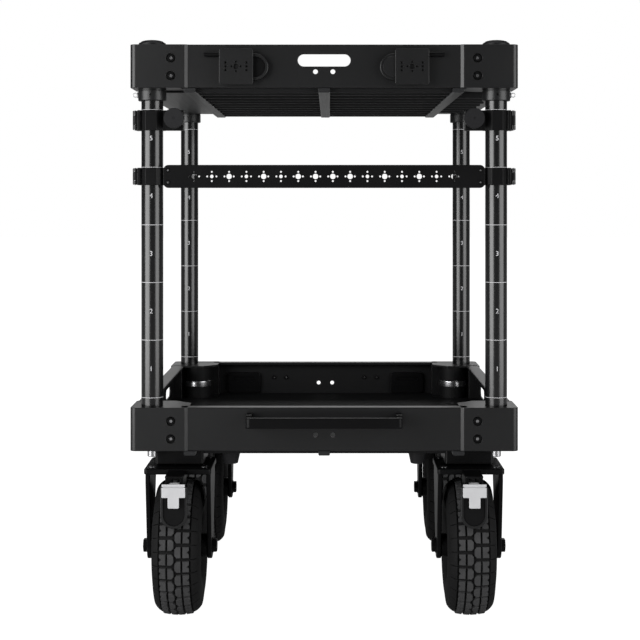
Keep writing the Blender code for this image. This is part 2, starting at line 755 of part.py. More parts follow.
def grab_handle():
    """A U-shaped bar on two ears, bolted to the lower front panel."""
    half = HANDLE_WIDTH / 2
    back = -(PANEL_FACE + FIT)
    front = -(PANEL_FACE + HANDLE_REACH)
    inner = front + HANDLE_BAR
    radius = HANDLE_CORNER
    points = [(-half, back)]
    points += arc((-half + radius, front + radius), radius, 180, 270)
    points += arc((half - radius, front + radius), radius, 270, 360)
    ear_in = half - HANDLE_EAR
    points += [(half, back), (ear_in, back), (ear_in, inner), (-ear_in, inner), (-ear_in, back)]
    z = LOWER_BOTTOM + TRAY_HEIGHT - HANDLE_DROP
    bar = outline("grab_handle", points, HANDLE_HEIGHT, CART)
    bar.location = (0, 0, z)
    ears = []
    for side in (-1, 1):
        low, high = sorted((side * (half - HANDLE_EAR), side * half))
        ears.append(((low, inner, -HANDLE_EAR_HEIGHT / 2), (high, back, HANDLE_EAR_HEIGHT / 2)))
    fuse(bar, boxes("grab_handle_ears", ears))
    return paint(bar, "black_steel")


def accessory_plate(place, side):
    """A drilled square plate on a round-ended boss, with a latch pin on its outer side."""
    name = f"accessory_plate_{place}"
    width, height = ACCESSORY_SIZE
    x = side * ACCESSORY_X
    z = UPPER_TOP - ACCESSORY_DROP
    back = PANEL_FACE + FIT
    boss_front = back + BOSS_THICKNESS
    plate_front = boss_front + ACCESSORY_THICKNESS
    low = (x - width / 2, z - height / 2)
    high = (x + width / 2, z + height / 2)
    plate = front_outline(name, rounded_rectangle(low, high, ACCESSORY_EDGE), ACCESSORY_THICKNESS,
                          -(boss_front + plate_front) / 2, CART)
    outer = side * (ACCESSORY_X + width / 2 - BOSS_RIM)
    base = boss_points(side, z, BOSS_DIAMETER / 2, outer)
    boss_middle = -(back + boss_front + OVERLAP) / 2
    fuse(plate, front_outline(f"{name}_boss", base, BOSS_THICKNESS + OVERLAP, boss_middle))
    well = boss_points(side, z, BOSS_DIAMETER / 2 - BOSS_RIM, side * (ACCESSORY_X - width / 2 - FIT))
    carve(plate, front_outline(f"{name}_well", well, 2 * BOSS_RECESS, -boss_front))
    latch_z = z + LATCH_PIN_RISE
    latch_y = -(back + BOSS_THICKNESS / 2)
    block_low = min(outer, outer - side * 2 * BOSS_RIM)
    block_high = max(outer, outer - side * 2 * BOSS_RIM)
    fuse(plate, boxes(f"{name}_latch_block", [((block_low, -(boss_front + OVERLAP), z),
                                               (block_high, -back, latch_z + LATCH_PIN_DIAMETER / 2))]))
    start = abs(outer) - BOSS_RIM
    pin_end = ACCESSORY_X + LATCH_PIN_REACH
    fuse(plate, rod(f"{name}_latch_pin", (side * (start + pin_end) / 2, latch_y, latch_z),
                    LATCH_PIN_DIAMETER / 2 - OVERLAP, pin_end - start, "X"))
    depth = 2 * ACCESSORY_HOLE_DEPTH
    holes = [((x, -plate_front, z), CENTRE_HOLE / 2, CENTRE_HOLE / 2, depth, SCREW_SIDES)]
    for column in (-COLUMN_REACH, COLUMN_REACH):
        for rise in (-COLUMN_PITCH, 0, COLUMN_PITCH):
            centre = (x + column, -plate_front, z + rise)
            holes.append((centre, COLUMN_HOLE / 2, COLUMN_HOLE / 2, depth, SMALL_HOLE_SIDES))
    carve(plate, rods(f"{name}_holes", holes, "Y"))
    return paint(plate, "black_anodised")


def boss_points(side, z, radius, outer_x):
    """Front outline of the boss: a half round on the inner side, square on the outer side."""
    middle = (side * (ACCESSORY_X - BOSS_END_IN), z)
    round_end = arc(middle, radius, 90, 90 + side * 180, HALF_ROUND_STEPS)
    return round_end + [(outer_x, z - radius), (outer_x, z + radius)]


# Cross-bar and clamps

def cross_bar(parent):
    """The drilled flat bar: big and small holes in a mirrored order."""
    half = POST_X - BAR_END_FROM_POST
    low = (-half, -BAR_HEIGHT / 2)
    high = (half, BAR_HEIGHT / 2)
    centre_y = -(POST_Y + BAR_FRONT - BAR_THICKNESS / 2)
    face = rounded_rectangle(low, high, BAR_CORNER)
    bar = front_outline("cross_bar", face, BAR_THICKNESS, centre_y, parent)
    holes = []
    for index in range(BAR_HOLE_COUNT):
        x = (index - (BAR_HOLE_COUNT - 1) / 2) * BAR_HOLE_PITCH
        from_end = min(index, BAR_HOLE_COUNT - 1 - index)
        big = from_end % 2 == 0 or from_end == BAR_HOLE_COUNT // 2 - 1
        diameter = CENTRE_HOLE if big else SMALL_CENTRE_HOLE
        holes.append(((x, centre_y, 0), diameter / 2, diameter / 2, 3 * BAR_THICKNESS, SCREW_SIDES))
    carve(bar, rods("cross_bar_holes", holes, "Y"))
    return paint(bar, "black_anodised")


def clamp(name, side, height, lug_reach, parent):
    """A split octagonal ring round a post, with an inner lug, an outer ear and the tongue of its lever.

    It is modelled about the post's axis and then placed, so its own form doesn't depend on the tray's size.
    """
    half = height / 2
    radius = CLAMP_ACROSS / 2 / math.cos(math.pi / CLAMP_SIDES)
    ring = rods(name, [((0, 0, 0), radius, radius, height, CLAMP_SIDES)], "Z", parent, flats=True)
    ring.location = (side * POST_X, -POST_Y, 0)
    ear_in = side * POST_RADIUS
    ear_out = side * CLAMP_OUT
    fuse(ring, boxes(f"{name}_ear", [((min(ear_in, ear_out), -CLAMP_EAR_WIDTH / 2, OVERLAP - half),
                                      (max(ear_in, ear_out), CLAMP_EAR_WIDTH / 2, half - OVERLAP))]))
    lug_low, lug_high = sorted((-side * lug_reach, -side * POST_RADIUS))
    lug_half = half - 2 * OVERLAP
    fuse(ring, boxes(f"{name}_lug", [((lug_low, -LUG_FRONT, -lug_half),
                                      (lug_high, CLAMP_LUG_DEPTH - LUG_FRONT, lug_half))]))
    tongue_half = height / 4
    pivot_x = side * LEVER_OUT
    pivot_y = -LEVER_FORWARD
    tongue_low = min(ear_out - side * OVERLAP, pivot_x)
    tongue_high = max(ear_out - side * OVERLAP, pivot_x)
    width = LEVER_THICKNESS / 2
    fuse(ring, boxes(f"{name}_tongue", [((tongue_low, pivot_y - width, -tongue_half),
                                         (tongue_high, pivot_y + width, tongue_half))]))
    tongue_end = 2 * tongue_half - OVERLAP
    fuse(ring, rod(f"{name}_tongue_end", (pivot_x, pivot_y, 0), width, tongue_end, "Z", HOLE_SIDES))
    carve(ring, rod(f"{name}_bore", (0, 0, 0), POST_RADIUS + BORE_FIT, 2 * height, "Z", TUBE_SIDES))
    carve(ring, rod(f"{name}_pin_hole", (pivot_x, pivot_y, 0), LEVER_PIN / 2 + BORE_FIT, height, "Z"))
    slit_low, slit_high = sorted((side * POST_RADIUS / 2, side * (CLAMP_OUT + CLAMP_SLIT)))
    slit = ((slit_low, -CLAMP_SLIT / 2, -height), (slit_high, CLAMP_SLIT / 2, height))
    carve(ring, boxes(f"{name}_slit", [slit]))
    return ring


def lever(name, side, height, body):
    """A cam lever on a vertical pin, forked over the clamp's tongue; it lies along the ear at rest."""
    carrier = new_empty(f"axis_{name}", (side * (POST_X + LEVER_OUT), -(POST_Y + LEVER_FORWARD), 0), body)
    thick = LEVER_THICKNESS / 2
    tip = thick - LEVER_TIP
    points = arc((0, 0), thick, 180, 360, HALF_ROUND_STEPS) + [
        (thick, LEVER_STRAIGHT), (tip, LEVER_LENGTH), (-tip, LEVER_LENGTH), (-thick, LEVER_STRAIGHT)]
    if side > 0:
        points = [(-px, py) for px, py in points]
    handle = outline(name, points, height - 4 * OVERLAP, carrier)
    slot_half = height / 4 + FIT
    carve(handle, boxes(f"{name}_slot", [((-LEVER_THICKNESS, -LEVER_THICKNESS, -slot_half),
                                          (LEVER_THICKNESS, LEVER_SLOT, slot_half))]))
    fuse(handle, rod(f"{name}_pin", (0, 0, 0), LEVER_PIN / 2, 2 * slot_half + 2 * OVERLAP, "Z", HOLE_SIDES))
    return paint(handle, "grey_metal")


def clamp_knob(place, side, body):
    """A round knob whose stem runs in the bore of the upper clamp's lug."""
    middle = (side * (POST_X - KNOB_FROM_POST), -POST_Y, KNOB_OFFSET)
    carrier = new_empty(f"axis_clamp_knob_{place}", middle, body)
    back = LUG_FRONT + FIT
    edge = KNOB_EDGE
    front = back + KNOB_THICKNESS
    radius = KNOB_DIAMETER / 2
    profile = [
        (0, front),
        (radius - edge, front),
        (radius, front - edge),
        (radius, back + edge),
        (radius - edge, back),
        (KNOB_STEM / 2, back),
        (KNOB_STEM / 2, back - KNOB_STEM_LENGTH),
        (0, back - KNOB_STEM_LENGTH),
    ]
    knob = turned(f"clamp_knob_{place}", profile, TUBE_SIDES, carrier)
    knob.rotation_euler = (math.radians(90), 0, 0)
    return paint(knob, "black_plastic")


def clamps():
    """The sliding cross-bar with its two clamps, and the two separate clamps above it."""
    bar_body = new_empty("slide_cross_bar", (0, 0, BAR_CENTRE), CART)
    cross_bar(bar_body)
    for place, side in (("left", -1), ("right", 1)):
        paint(clamp(f"bar_clamp_{place}", side, BAR_CLAMP_HEIGHT, BAR_LUG_REACH, bar_body), "black_anodised")
        lever(f"bar_lever_{place}", side, BAR_CLAMP_HEIGHT, bar_body)
        upper_body = new_empty(f"slide_upper_clamp_{place}", (0, 0, UPPER_CLAMP_CENTRE), CART)
        ring = clamp(f"upper_clamp_{place}", side, UPPER_CLAMP_HEIGHT, KNOB_LUG_REACH, upper_body)
        stem_hole = rod(f"{ring.name}_stem_hole", (-side * KNOB_FROM_POST, -LUG_FRONT, KNOB_OFFSET),
                        KNOB_STEM / 2 + RUNNING_FIT, 4 * CLAMP_LUG_DEPTH, "Y")
        carve(ring, stem_hole)
        paint(ring, "black_anodised")
        lever(f"upper_lever_{place}", side, UPPER_CLAMP_HEIGHT, upper_body)
        clamp_knob(place, side, upper_body)


# Casters

def adapter(place, corner_frame):
    """The block between the tray and the swivel, grooved for the side rail."""
    side, end = CORNERS[place]
    top = LOWER_BOTTOM - FIT
    block = boxes(f"caster_adapter_{place}", [((-ADAPTER_WIDTH / 2, -ADAPTER_LENGTH / 2, ADAPTER_BOTTOM),
                                               (ADAPTER_WIDTH / 2, ADAPTER_LENGTH / 2, top))], corner_frame)
    rail_x = -side * SIDE_RAIL_FROM_CASTER
    groove = RAIL_WIDTH / 2 + FIT
    carve(block, boxes(f"{block.name}_groove", [((rail_x - groove, -ADAPTER_LENGTH, top - RAIL_DROP),
                                                 (rail_x + groove, ADAPTER_LENGTH, top + THROUGH))]))
    carve(block, rod(f"{block.name}_kingpin_hole", (0, 0, ADAPTER_BOTTOM), KINGPIN_DIAMETER / 2 + RUNNING_FIT,
                     2 * (KINGPIN_LENGTH + FIT), "Z"))
    return paint(block, "black_anodised")


def leg_points():
    """Side outline of a fork leg: wide under the crown, narrow and round at the axle."""
    axle = (-TRAIL, WHEEL_RADIUS)
    shoulder = CROWN_BOTTOM - LEG_SHOULDER
    points = [(-LEG_FRONT, CROWN_BOTTOM + 4 * OVERLAP), (-LEG_FRONT, shoulder)]
    points += arc(axle, LEG_END_RADIUS, 180, 360, HALF_ROUND_STEPS)
    points += [(LEG_BACK, shoulder), (LEG_BACK, CROWN_BOTTOM + 4 * OVERLAP)]
    return points


def fork(place, swivel):
    """Crown, two legs, axle bolt, kingpin, and the neck and housing that carry the brake pedal."""
    name = f"caster_fork_{place}"
    half = (LEG_SPACING + LEG_THICKNESS) / 2 + LEG_CROWN_MARGIN
    crown = outline(name, rounded_rectangle((-half, -CROWN_FRONT), (half, CROWN_BACK), CROWN_CORNER),
                    CROWN_THICKNESS, swivel)
    crown.data.transform(Matrix.Translation((0, 0, (CROWN_BOTTOM + CROWN_TOP) / 2)))
    race_height = RACE_HEIGHT + OVERLAP
    race_z = CROWN_TOP + RACE_HEIGHT - race_height / 2
    fuse(crown, rod(f"{name}_race", (0, 0, race_z), RACE_RADIUS, race_height, "Z"))
    pin_high = ADAPTER_BOTTOM + KINGPIN_LENGTH - FIT
    pin_middle = (CROWN_TOP + pin_high) / 2
    fuse(crown, rod(f"{name}_kingpin", (0, 0, pin_middle), KINGPIN_DIAMETER / 2, pin_high - CROWN_TOP, "Z"))
    for side in (-1, 1):
        leg_x = side * LEG_SPACING / 2
        fuse(crown, side_outline(f"{name}_leg_{side + 1}", leg_points(), LEG_THICKNESS, leg_x))
    axle = (0, -TRAIL, WHEEL_RADIUS)
    outside = (LEG_SPACING + LEG_THICKNESS) / 2
    fuse(crown, rod(f"{name}_axle", axle, AXLE_DIAMETER / 2, 2 * outside, "X", HOLE_SIDES))
    heads = []
    for side in (-1, 1):
        centre = (side * (outside + (AXLE_HEAD_HEIGHT - OVERLAP) / 2), -TRAIL, WHEEL_RADIUS)
        heads.append((centre, AXLE_HEAD / 2, AXLE_HEAD / 2, AXLE_HEAD_HEIGHT + OVERLAP, HEAD_SIDES))
    fuse(crown, rods(f"{name}_axle_heads", heads, "X"))
    brake_housing(crown)
    return paint(crown, "black_steel")


def brake_housing(crown):
    """The round-ended plate in front of the tyre, hung from a neck with two cheeks and the pedal pin."""
    name = crown.name
    back = HOUSING_BACK
    front = back + HOUSING_THICKNESS
    top = CROWN_BOTTOM - HOUSING_TOP_DROP
    bottom = CROWN_BOTTOM - HOUSING_DROP
    neck_half = NECK_WIDTH / 2
    neck_top = CROWN_BOTTOM + NECK_TOP
    neck_base = CROWN_BOTTOM - NECK_BASE_DROP
    neck_back = THROUGH / 2 - CROWN_FRONT
    cheeks = []
    for side in (-1, 1):
        low, high = sorted((side * neck_half, side * (neck_half - NECK_SIDE)))
        cheeks.append(((low, -(back + OVERLAP), neck_base), (high, neck_back, neck_top - OVERLAP)))
    fuse(crown, boxes(f"{name}_cheeks", cheeks))
    roof_bottom = neck_top - NECK_ROOF
    roof = ((-neck_half, -front + FIT, roof_bottom), (neck_half, neck_back, neck_top))
    fuse(crown, boxes(f"{name}_neck_roof", [roof]))
    plate = round_bottom(HOUSING_WIDTH, bottom, top)
    fuse(crown, front_outline(f"{name}_housing", plate, HOUSING_THICKNESS, -(back + front) / 2))
    well = round_bottom(HOUSING_WIDTH - 2 * HOUSING_RIM, bottom + HOUSING_RIM, top + THROUGH)
    carve(crown, front_outline(f"{name}_housing_well", well, 2 * HOUSING_RECESS, -front - OVERLAP))
    window_half = neck_half - NECK_SIDE
    window = ((-window_half, -(front + THROUGH), neck_base), (window_half, OVERLAP * 2 - back, roof_bottom))
    carve(crown, boxes(f"{name}_window", [window]))
    pin_length = NECK_WIDTH - NECK_SIDE
    fuse(crown, rod(f"{name}_pedal_pin", (0, -PEDAL_PIN_Y, PEDAL_PIN_Z), PEDAL_PIN / 2, pin_length, "X"))


def round_bottom(width, bottom, top):
    """A front outline with a square top and a half-round bottom."""
    half = width / 2
    return [(-half, top)] + arc((0, bottom + half), half, 180, 360, HALF_ROUND_STEPS) + [(half, top)]


def brake_pedal(place, swivel):
    """A T-shaped sheet pad and tongue on an arm, with a barrel on the pedal pin."""
    carrier = new_empty(f"axis_brake_pedal_{place}", (0, -PEDAL_PIN_Y, PEDAL_PIN_Z), swivel)
    top = CROWN_BOTTOM - PEDAL_DROP - PEDAL_PIN_Z
    back = PEDAL_BACK - PEDAL_PIN_Y
    half = PEDAL_WIDTH / 2
    bottom = top - PEDAL_HEIGHT
    pad = ((-half, -(back + PEDAL_SHEET), bottom), (half, -back, top))
    pedal = boxes(f"brake_pedal_{place}", [pad], carrier)
    tongue_half = TONGUE_WIDTH / 2
    tongue = ((-tongue_half, -(back + PEDAL_SHEET - OVERLAP), bottom - TONGUE_HEIGHT),
              (tongue_half, -(back + PEDAL_SHEET - OVERLAP - TONGUE_SHEET), bottom + OVERLAP))
    fuse(pedal, boxes(f"{pedal.name}_tongue", [tongue]))
    arm_half = PEDAL_ARM[0] / 2
    arm = ((-arm_half, -(back + OVERLAP), -PEDAL_ARM[1] / 2), (arm_half, 0, PEDAL_ARM[1] / 2))
    fuse(pedal, boxes(f"{pedal.name}_arm", [arm]))
    barrel_length = NECK_WIDTH - 2 * NECK_SIDE - 2 * FIT
    fuse(pedal, rod(f"{pedal.name}_barrel", (0, 0, 0), PEDAL_BARREL / 2, barrel_length, "X", HOLE_SIDES))
    carve(pedal, rod(f"{pedal.name}_bore", (0, 0, 0), PEDAL_PIN / 2 + BORE_FIT, 2 * NECK_WIDTH, "X"))
    return paint(pedal, "grey_metal")


def wheel(place, swivel):
    """A turned rim with its hub on the axle, and the tyre that sits between the rim's flanges."""
    carrier = new_empty(f"axis_wheel_{place}", (0, -TRAIL, WHEEL_RADIUS), swivel)
    hub_half = FORK_INSIDE - FIT
    barrel_inner = RIM_RADIUS - RIM_WALL
    bore = AXLE_DIAMETER / 2 + RUNNING_FIT
    outer = RIM_HALF_WIDTH
    inner = outer - RIM_FLANGE
    web = RIM_WEB / 2
    half_rim = [(bore, hub_half), (HUB_RADIUS, hub_half), (HUB_RADIUS, web), (barrel_inner, web),
                (barrel_inner, outer), (RIM_FLANGE_RADIUS, outer), (RIM_FLANGE_RADIUS, inner),
                (RIM_RADIUS, inner)]
    rim_profile = half_rim + [(radius, -height) for radius, height in reversed(half_rim)]
    rim = turned(f"wheel_rim_{place}", rim_profile, RIM_SIDES, carrier, closed=True)
    rim.rotation_euler = (0, math.radians(90), 0)
    paint(rim, "rim_paint")
    scale = 1 / math.cos(math.pi / WHEEL_SIDES)
    bead = (RIM_RADIUS + FIT) * scale
    seat = inner - FIT
    wide = TYRE_WIDTH / 2
    tread = WHEEL_RADIUS * scale
    half_tyre = [(bead, seat), (RIM_FLANGE_RADIUS + RIM_FLANGE, seat),
                 (RIM_RADIUS + TYRE_BULGE, wide),
                 (RIM_RADIUS + TYRE_SHOULDER, wide - TYRE_SHOULDER_NARROWING), (tread, TREAD_WIDTH / 2)]
    tyre_profile = half_tyre + [(radius, -height) for radius, height in reversed(half_tyre)]
    tyre = turned(f"tyre_{place}", tyre_profile, WHEEL_SIDES, carrier, closed=True)
    tyre.rotation_euler = (0, math.radians(90), 0)
    tyre.data.transform(Matrix.Rotation(math.pi / WHEEL_SIDES, 4, "Z"))
    paint(tyre, "tyre_rubber")


def casters():
    """Four swivel casters, each trailing towards the front of the cart."""
    for place, (side, end) in CORNERS.items():
        swivel = new_empty(f"axis_swivel_{place}", (side * CASTER_X, end * CASTER_Y, 0), CART)
        adapter(place, swivel)
        fork(place, swivel)
        brake_pedal(place, swivel)
        wheel(place, swivel)


# Main

def build():
    """Model the whole cart."""
    tray("lower", LOWER_BOTTOM)
    tray("upper", UPPER_BOTTOM)
    for place in CORNERS:
        post(place)
        pull_pin(place)
    grab_handle()
    accessory_plate("left", -1)
    accessory_plate("right", 1)
    clamps()
    casters()


clear_scene()
PARTS = new_collection("cart_workstation")
TOOLS = new_collection("cutters")
TOOLS.hide_render = True
CART = new_empty("cart_frame", (0, ORIGIN_SHIFT, 0))
build()
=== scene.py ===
"""Looks of the cart workstation: finished surfaces for each piece of the frame, a floor, lights and a camera.

Metres, +Z up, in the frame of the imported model. The front of the cart faces -Y.
Each new piece is a surface worked out with numpy: rows of points, each row a closed ring, joined by quads.
"""
import json
import math

import bmesh
import bpy
import numpy as np
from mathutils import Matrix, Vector


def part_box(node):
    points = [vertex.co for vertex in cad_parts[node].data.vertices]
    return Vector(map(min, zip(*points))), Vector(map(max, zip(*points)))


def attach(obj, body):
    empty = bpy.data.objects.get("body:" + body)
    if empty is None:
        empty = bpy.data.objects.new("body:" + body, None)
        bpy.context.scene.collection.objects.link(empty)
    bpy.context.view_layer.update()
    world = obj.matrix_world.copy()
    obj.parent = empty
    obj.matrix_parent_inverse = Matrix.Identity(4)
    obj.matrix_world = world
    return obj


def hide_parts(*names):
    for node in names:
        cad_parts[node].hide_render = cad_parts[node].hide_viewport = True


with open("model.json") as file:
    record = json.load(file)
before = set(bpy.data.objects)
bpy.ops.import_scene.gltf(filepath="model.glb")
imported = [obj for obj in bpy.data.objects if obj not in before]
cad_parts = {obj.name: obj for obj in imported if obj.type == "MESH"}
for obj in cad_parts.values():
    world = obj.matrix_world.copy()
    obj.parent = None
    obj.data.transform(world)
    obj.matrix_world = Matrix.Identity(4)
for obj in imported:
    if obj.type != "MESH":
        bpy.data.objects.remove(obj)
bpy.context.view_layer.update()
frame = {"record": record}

bl_info = {
    "name": "Cart workstation looks",
    "version": (1, 0, 0),
    "blender": (4, 5, 0),
    "location": "3D View > Sidebar > Cart",
    "description": "Finished pieces, floor, lights and camera of a rolling cart workstation",
    "category": "Object",
}

# Names of the cart's repeated places: side along X, end along Y
CORNERS = {"front_left": (-1, -1), "front_right": (1, -1), "rear_left": (-1, 1), "rear_right": (1, 1)}
SIDES = {"left": -1, "right": 1}
JOINTS = {joint["name"]: joint for joint in frame["record"]["behaviour"]["joints"]}


def corner_box(node):
    """Lowest and highest corners of a node of the frame, as arrays."""
    low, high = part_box(node)
    return np.array(low), np.array(high)


def node_middle(node):
    """Middle of a node's box."""
    low, high = corner_box(node)
    return (low + high) / 2


# Places of the frame
LOWER_LOW, LOWER_HIGH = corner_box("lower_corner_front_left")
REAR_HIGH = corner_box("lower_corner_rear_right")[1]
MIDDLE_Y = (LOWER_LOW[1] + REAR_HIGH[1]) / 2
HALF_WIDTH = REAR_HIGH[0]
HALF_LENGTH = REAR_HIGH[1] - MIDDLE_Y
CORNER_SIZE = LOWER_HIGH[1] - LOWER_LOW[1]
TRAY_HEIGHT = LOWER_HIGH[2] - LOWER_LOW[2]
LOWER_Z = LOWER_LOW[2]
UPPER_TOP = corner_box("upper_front_panel")[1][2]
UPPER_Z = UPPER_TOP - TRAY_HEIGHT
COLLAR_Z = corner_box("upper_corner_front_left")[0][2]
POST_X = node_middle("post_front_right")[0]
POST_Y = node_middle("post_rear_right")[1] - MIDDLE_Y
PANEL_FACE = MIDDLE_Y - corner_box("upper_front_panel")[0][1]
SIDE_FACE = corner_box("upper_right_panel")[1][0]

# The two trays by the height of their foot, and their walls by axis and inward way along it
LEVELS = {"lower": LOWER_Z, "upper": UPPER_Z}
WALLS = {"front": (1, 1), "rear": (1, -1), "left": (0, 1), "right": (0, -1)}

# Play between pieces, and the posts
FIT = 0.0003
POST_RADIUS = 0.019
BORE = POST_RADIUS + FIT
COLLAR_RADIUS = 0.0245
CAP_Z = UPPER_TOP + FIT
MARK_COUNT = 6

# Corner castings
CORNER_ROUND = 0.010
CORNER_BEVEL = 0.006
CORNER_CUT = 0.030
BEVEL_ROUND = 0.0015
BAND_IN = (0.056, 0.070)
BAND_RADIUS = 0.0285
SCREW_IN = 0.0705
SCREW_DROPS = (0.0235, 0.054)

# Walls and floors of the trays
PANEL_RECESS = HALF_LENGTH - PANEL_FACE
PANEL_WALL = 0.003
PANEL_LIP = 0.0055
PANEL_FOOT = 0.0027
PANEL_FLANGE = 0.025
PANEL_HOLE = 0.0084
PANEL_HOLE_SPACING = 0.030
PANEL_HOLE_DROP = 0.047
HAND_SLOT = (0.091, 0.021)
HAND_SLOT_DROP = 0.0275
SIDE_SLOT_DROP = 0.046
SIDE_SLOT_SPACING = 0.380
RIB_HALF = 0.010
RIB_PAIRS = 5
RIB_SPACING = 0.076
RAIL_HALF = 0.010
RAIL_IN = 0.023
SIDE_RAIL = JOINTS["swivel_front_right"]["pos_m"][0] - RAIL_IN

# Accessory plates, cross-bar and clamps
PLATE_X = 0.151
PLATE_HALF = (0.029, 0.0305)
BAR_HOLES = 16
BAR_HOLE_SPACING = 0.030
HOLE_BIG = 0.00475
HOLE_MEDIUM = 0.0031
HOLE_SMALL = 0.00165
SMALL_HOLE_REACH = 0.008
BAR_CLAMP_HEIGHT = 0.030
UPPER_CLAMP_HEIGHT = 0.035
EAR_REACH = 0.024375
LEVER_HALF = 0.004
PIVOT_OUT = EAR_REACH + LEVER_HALF + FIT
PIVOT_AHEAD = 0.012
KNOB_FLUTES = 24

# Casters
CROWN_LOW = 0.254
CROWN_HIGH = 0.264
RACE_TOP = 0.266
LEG_IN = 0.049
LEG_OUT = 0.057
SHIELD_THICK = 0.008
RIM_WINDOWS = 6
TYRE_RADIUS = 0.120
TREAD_RADIUS = 0.118
BEAD_RADIUS = 0.0523
BEAD_HALF = 0.0305

# Socket screws: radius and height of the head, width and depth of its hexagon
CORNER_SCREW = (0.0065, 0.0046, 0.0055, 0.0026)
WALL_SCREW = (0.0045, 0.0028, 0.0040, 0.0016)
BAR_SCREW = (0.0040, 0.0014, 0.0035, 0.0012)
FORK_SCREW = (0.0065, 0.0045, 0.0060, 0.0030)
POST_SCREW = (0.0085, 0.0122, 0.0080, 0.0050)

# Points nearer to each other than this are one, and faces whose normals agree by this much face the same way
MERGE_DISTANCE = 0.0000005
SAME_WAY = 0.9

# How finely round forms are drawn
RIM_SIDES = 72
TUBE_SIDES = 64
ROUND_SIDES = 48
PIN_SIDES = 32
SMALL_SIDES = 24
HOLE_SIDES = 20


# Settings that a user may change

class CartFinishSettings(bpy.types.PropertyGroup):
    """Colours and gloss of the cart's finishes."""
    anodised: bpy.props.FloatVectorProperty(
        name="Anodised black", description="Colour of the castings, walls and plates", subtype="COLOR",
        size=3, min=0, max=1, default=(0.0040, 0.0041, 0.0044))
    deep: bpy.props.FloatVectorProperty(
        name="Deep black", description="Colour of bar, clamps and swivel blocks", subtype="COLOR", size=3,
        min=0, max=1, default=(0.0024, 0.0024, 0.0026))
    tube: bpy.props.FloatVectorProperty(
        name="Tube black", description="Colour of the posts", subtype="COLOR", size=3, min=0, max=1,
        default=(0.0026, 0.0027, 0.0029))
    steel: bpy.props.FloatVectorProperty(
        name="Coated steel", description="Colour of the forks, the handle and the brakes", subtype="COLOR",
        size=3, min=0, max=1, default=(0.0017, 0.0017, 0.0019))
    rubber: bpy.props.FloatVectorProperty(
        name="Rubber", description="Colour of the tyres", subtype="COLOR", size=3, min=0, max=1,
        default=(0.0270, 0.0270, 0.0276))
    pale_metal: bpy.props.FloatVectorProperty(
        name="Pale metal", description="Colour of pedals, pull pins and bright fasteners", subtype="COLOR",
        size=3, min=0, max=1, default=(0.50, 0.50, 0.51))
    print_white: bpy.props.FloatVectorProperty(
        name="Printed marks", description="Colour of the rings and numbers on the posts", subtype="COLOR",
        size=3, min=0, max=1, default=(0.42, 0.42, 0.43))


class CartDetailSettings(bpy.types.PropertyGroup):
    """Sizes of details that the frame leaves out."""
    edge: bpy.props.FloatProperty(
        name="Edge rounding", description="Radius of the broken edges of the castings", unit="LENGTH",
        min=0.0002, max=0.0014, default=0.0009)
    mark_pitch: bpy.props.FloatProperty(
        name="Mark pitch", description="Distance between two ring marks of a post", unit="LENGTH", min=0.02,
        max=0.5, default=0.100)
    number_height: bpy.props.FloatProperty(
        name="Number height", description="Height of the numbers on the posts", unit="LENGTH", min=0.002,
        max=0.03, default=0.0082)
    tread_pitches: bpy.props.IntProperty(
        name="Tread pitches", description="How often the tread pattern repeats round a tyre", min=12, max=60,
        default=30)
    tread_depth: bpy.props.FloatProperty(
        name="Tread depth", description="Height of the tread blocks", unit="LENGTH", min=0.001, max=0.012,
        default=0.0055)


class CartStageSettings(bpy.types.PropertyGroup):
    """Camera and light."""
    camera_place: bpy.props.FloatVectorProperty(
        name="Camera place", description="Where the camera stands", subtype="XYZ", size=3, unit="LENGTH",
        default=(0.0096, -3.0435, 0.725))
    camera_tilt: bpy.props.FloatProperty(
        name="Camera tilt", description="How far the camera looks down", subtype="ANGLE", default=0.0)
    lens: bpy.props.FloatProperty(
        name="Lens", description="Focal length in mm on a 36 mm sensor", min=20, max=300, default=87.3)
    shift: bpy.props.FloatVectorProperty(
        name="Shift", description="Shift of the frame, in widths of the picture", size=2,
        default=(-0.0152, -0.182))
    world_light: bpy.props.FloatProperty(
        name="World light", description="Strength of the even light from all round", min=0, max=5,
        default=0.62)


# Outlines, rows and grids

def ring_angles(sides):
    """Angles of the columns of a ring, once round without the repeated last one."""
    return np.arange(sides) * (math.tau / sides)


def counterclockwise(points):
    """The same outline, turned so that its area is positive."""
    x, y = points[:, 0], points[:, 1]
    area = np.sum(x * np.roll(y, -1) - np.roll(x, -1) * y)
    return points if area > 0 else points[::-1]


def rounded(points, radii, steps=5, closed=True):
    """An outline with an arc of the given radius at each corner.

    At a corner whose sides open by an angle a, the arc's centre lies on the bisector at radius / sin(a / 2),
    and the arc is a slerp between the two points where it meets the sides. An open line keeps its two ends.
    """
    corners = np.array(points, float)
    radii = np.broadcast_to(np.array(radii, float), (len(corners),))
    before = np.roll(corners, 1, axis=0) - corners
    after = np.roll(corners, -1, axis=0) - corners
    before /= np.linalg.norm(before, axis=1, keepdims=True)
    after /= np.linalg.norm(after, axis=1, keepdims=True)
    if not closed:
        before[0] = -after[0]
        after[-1] = -before[-1]
        inner = slice(1, -1)
        line = rounded_corners(corners[inner], before[inner], after[inner], radii[inner], steps)
        return np.vstack([corners[:1], line, corners[-1:]])
    return rounded_corners(corners, before, after, radii, steps)


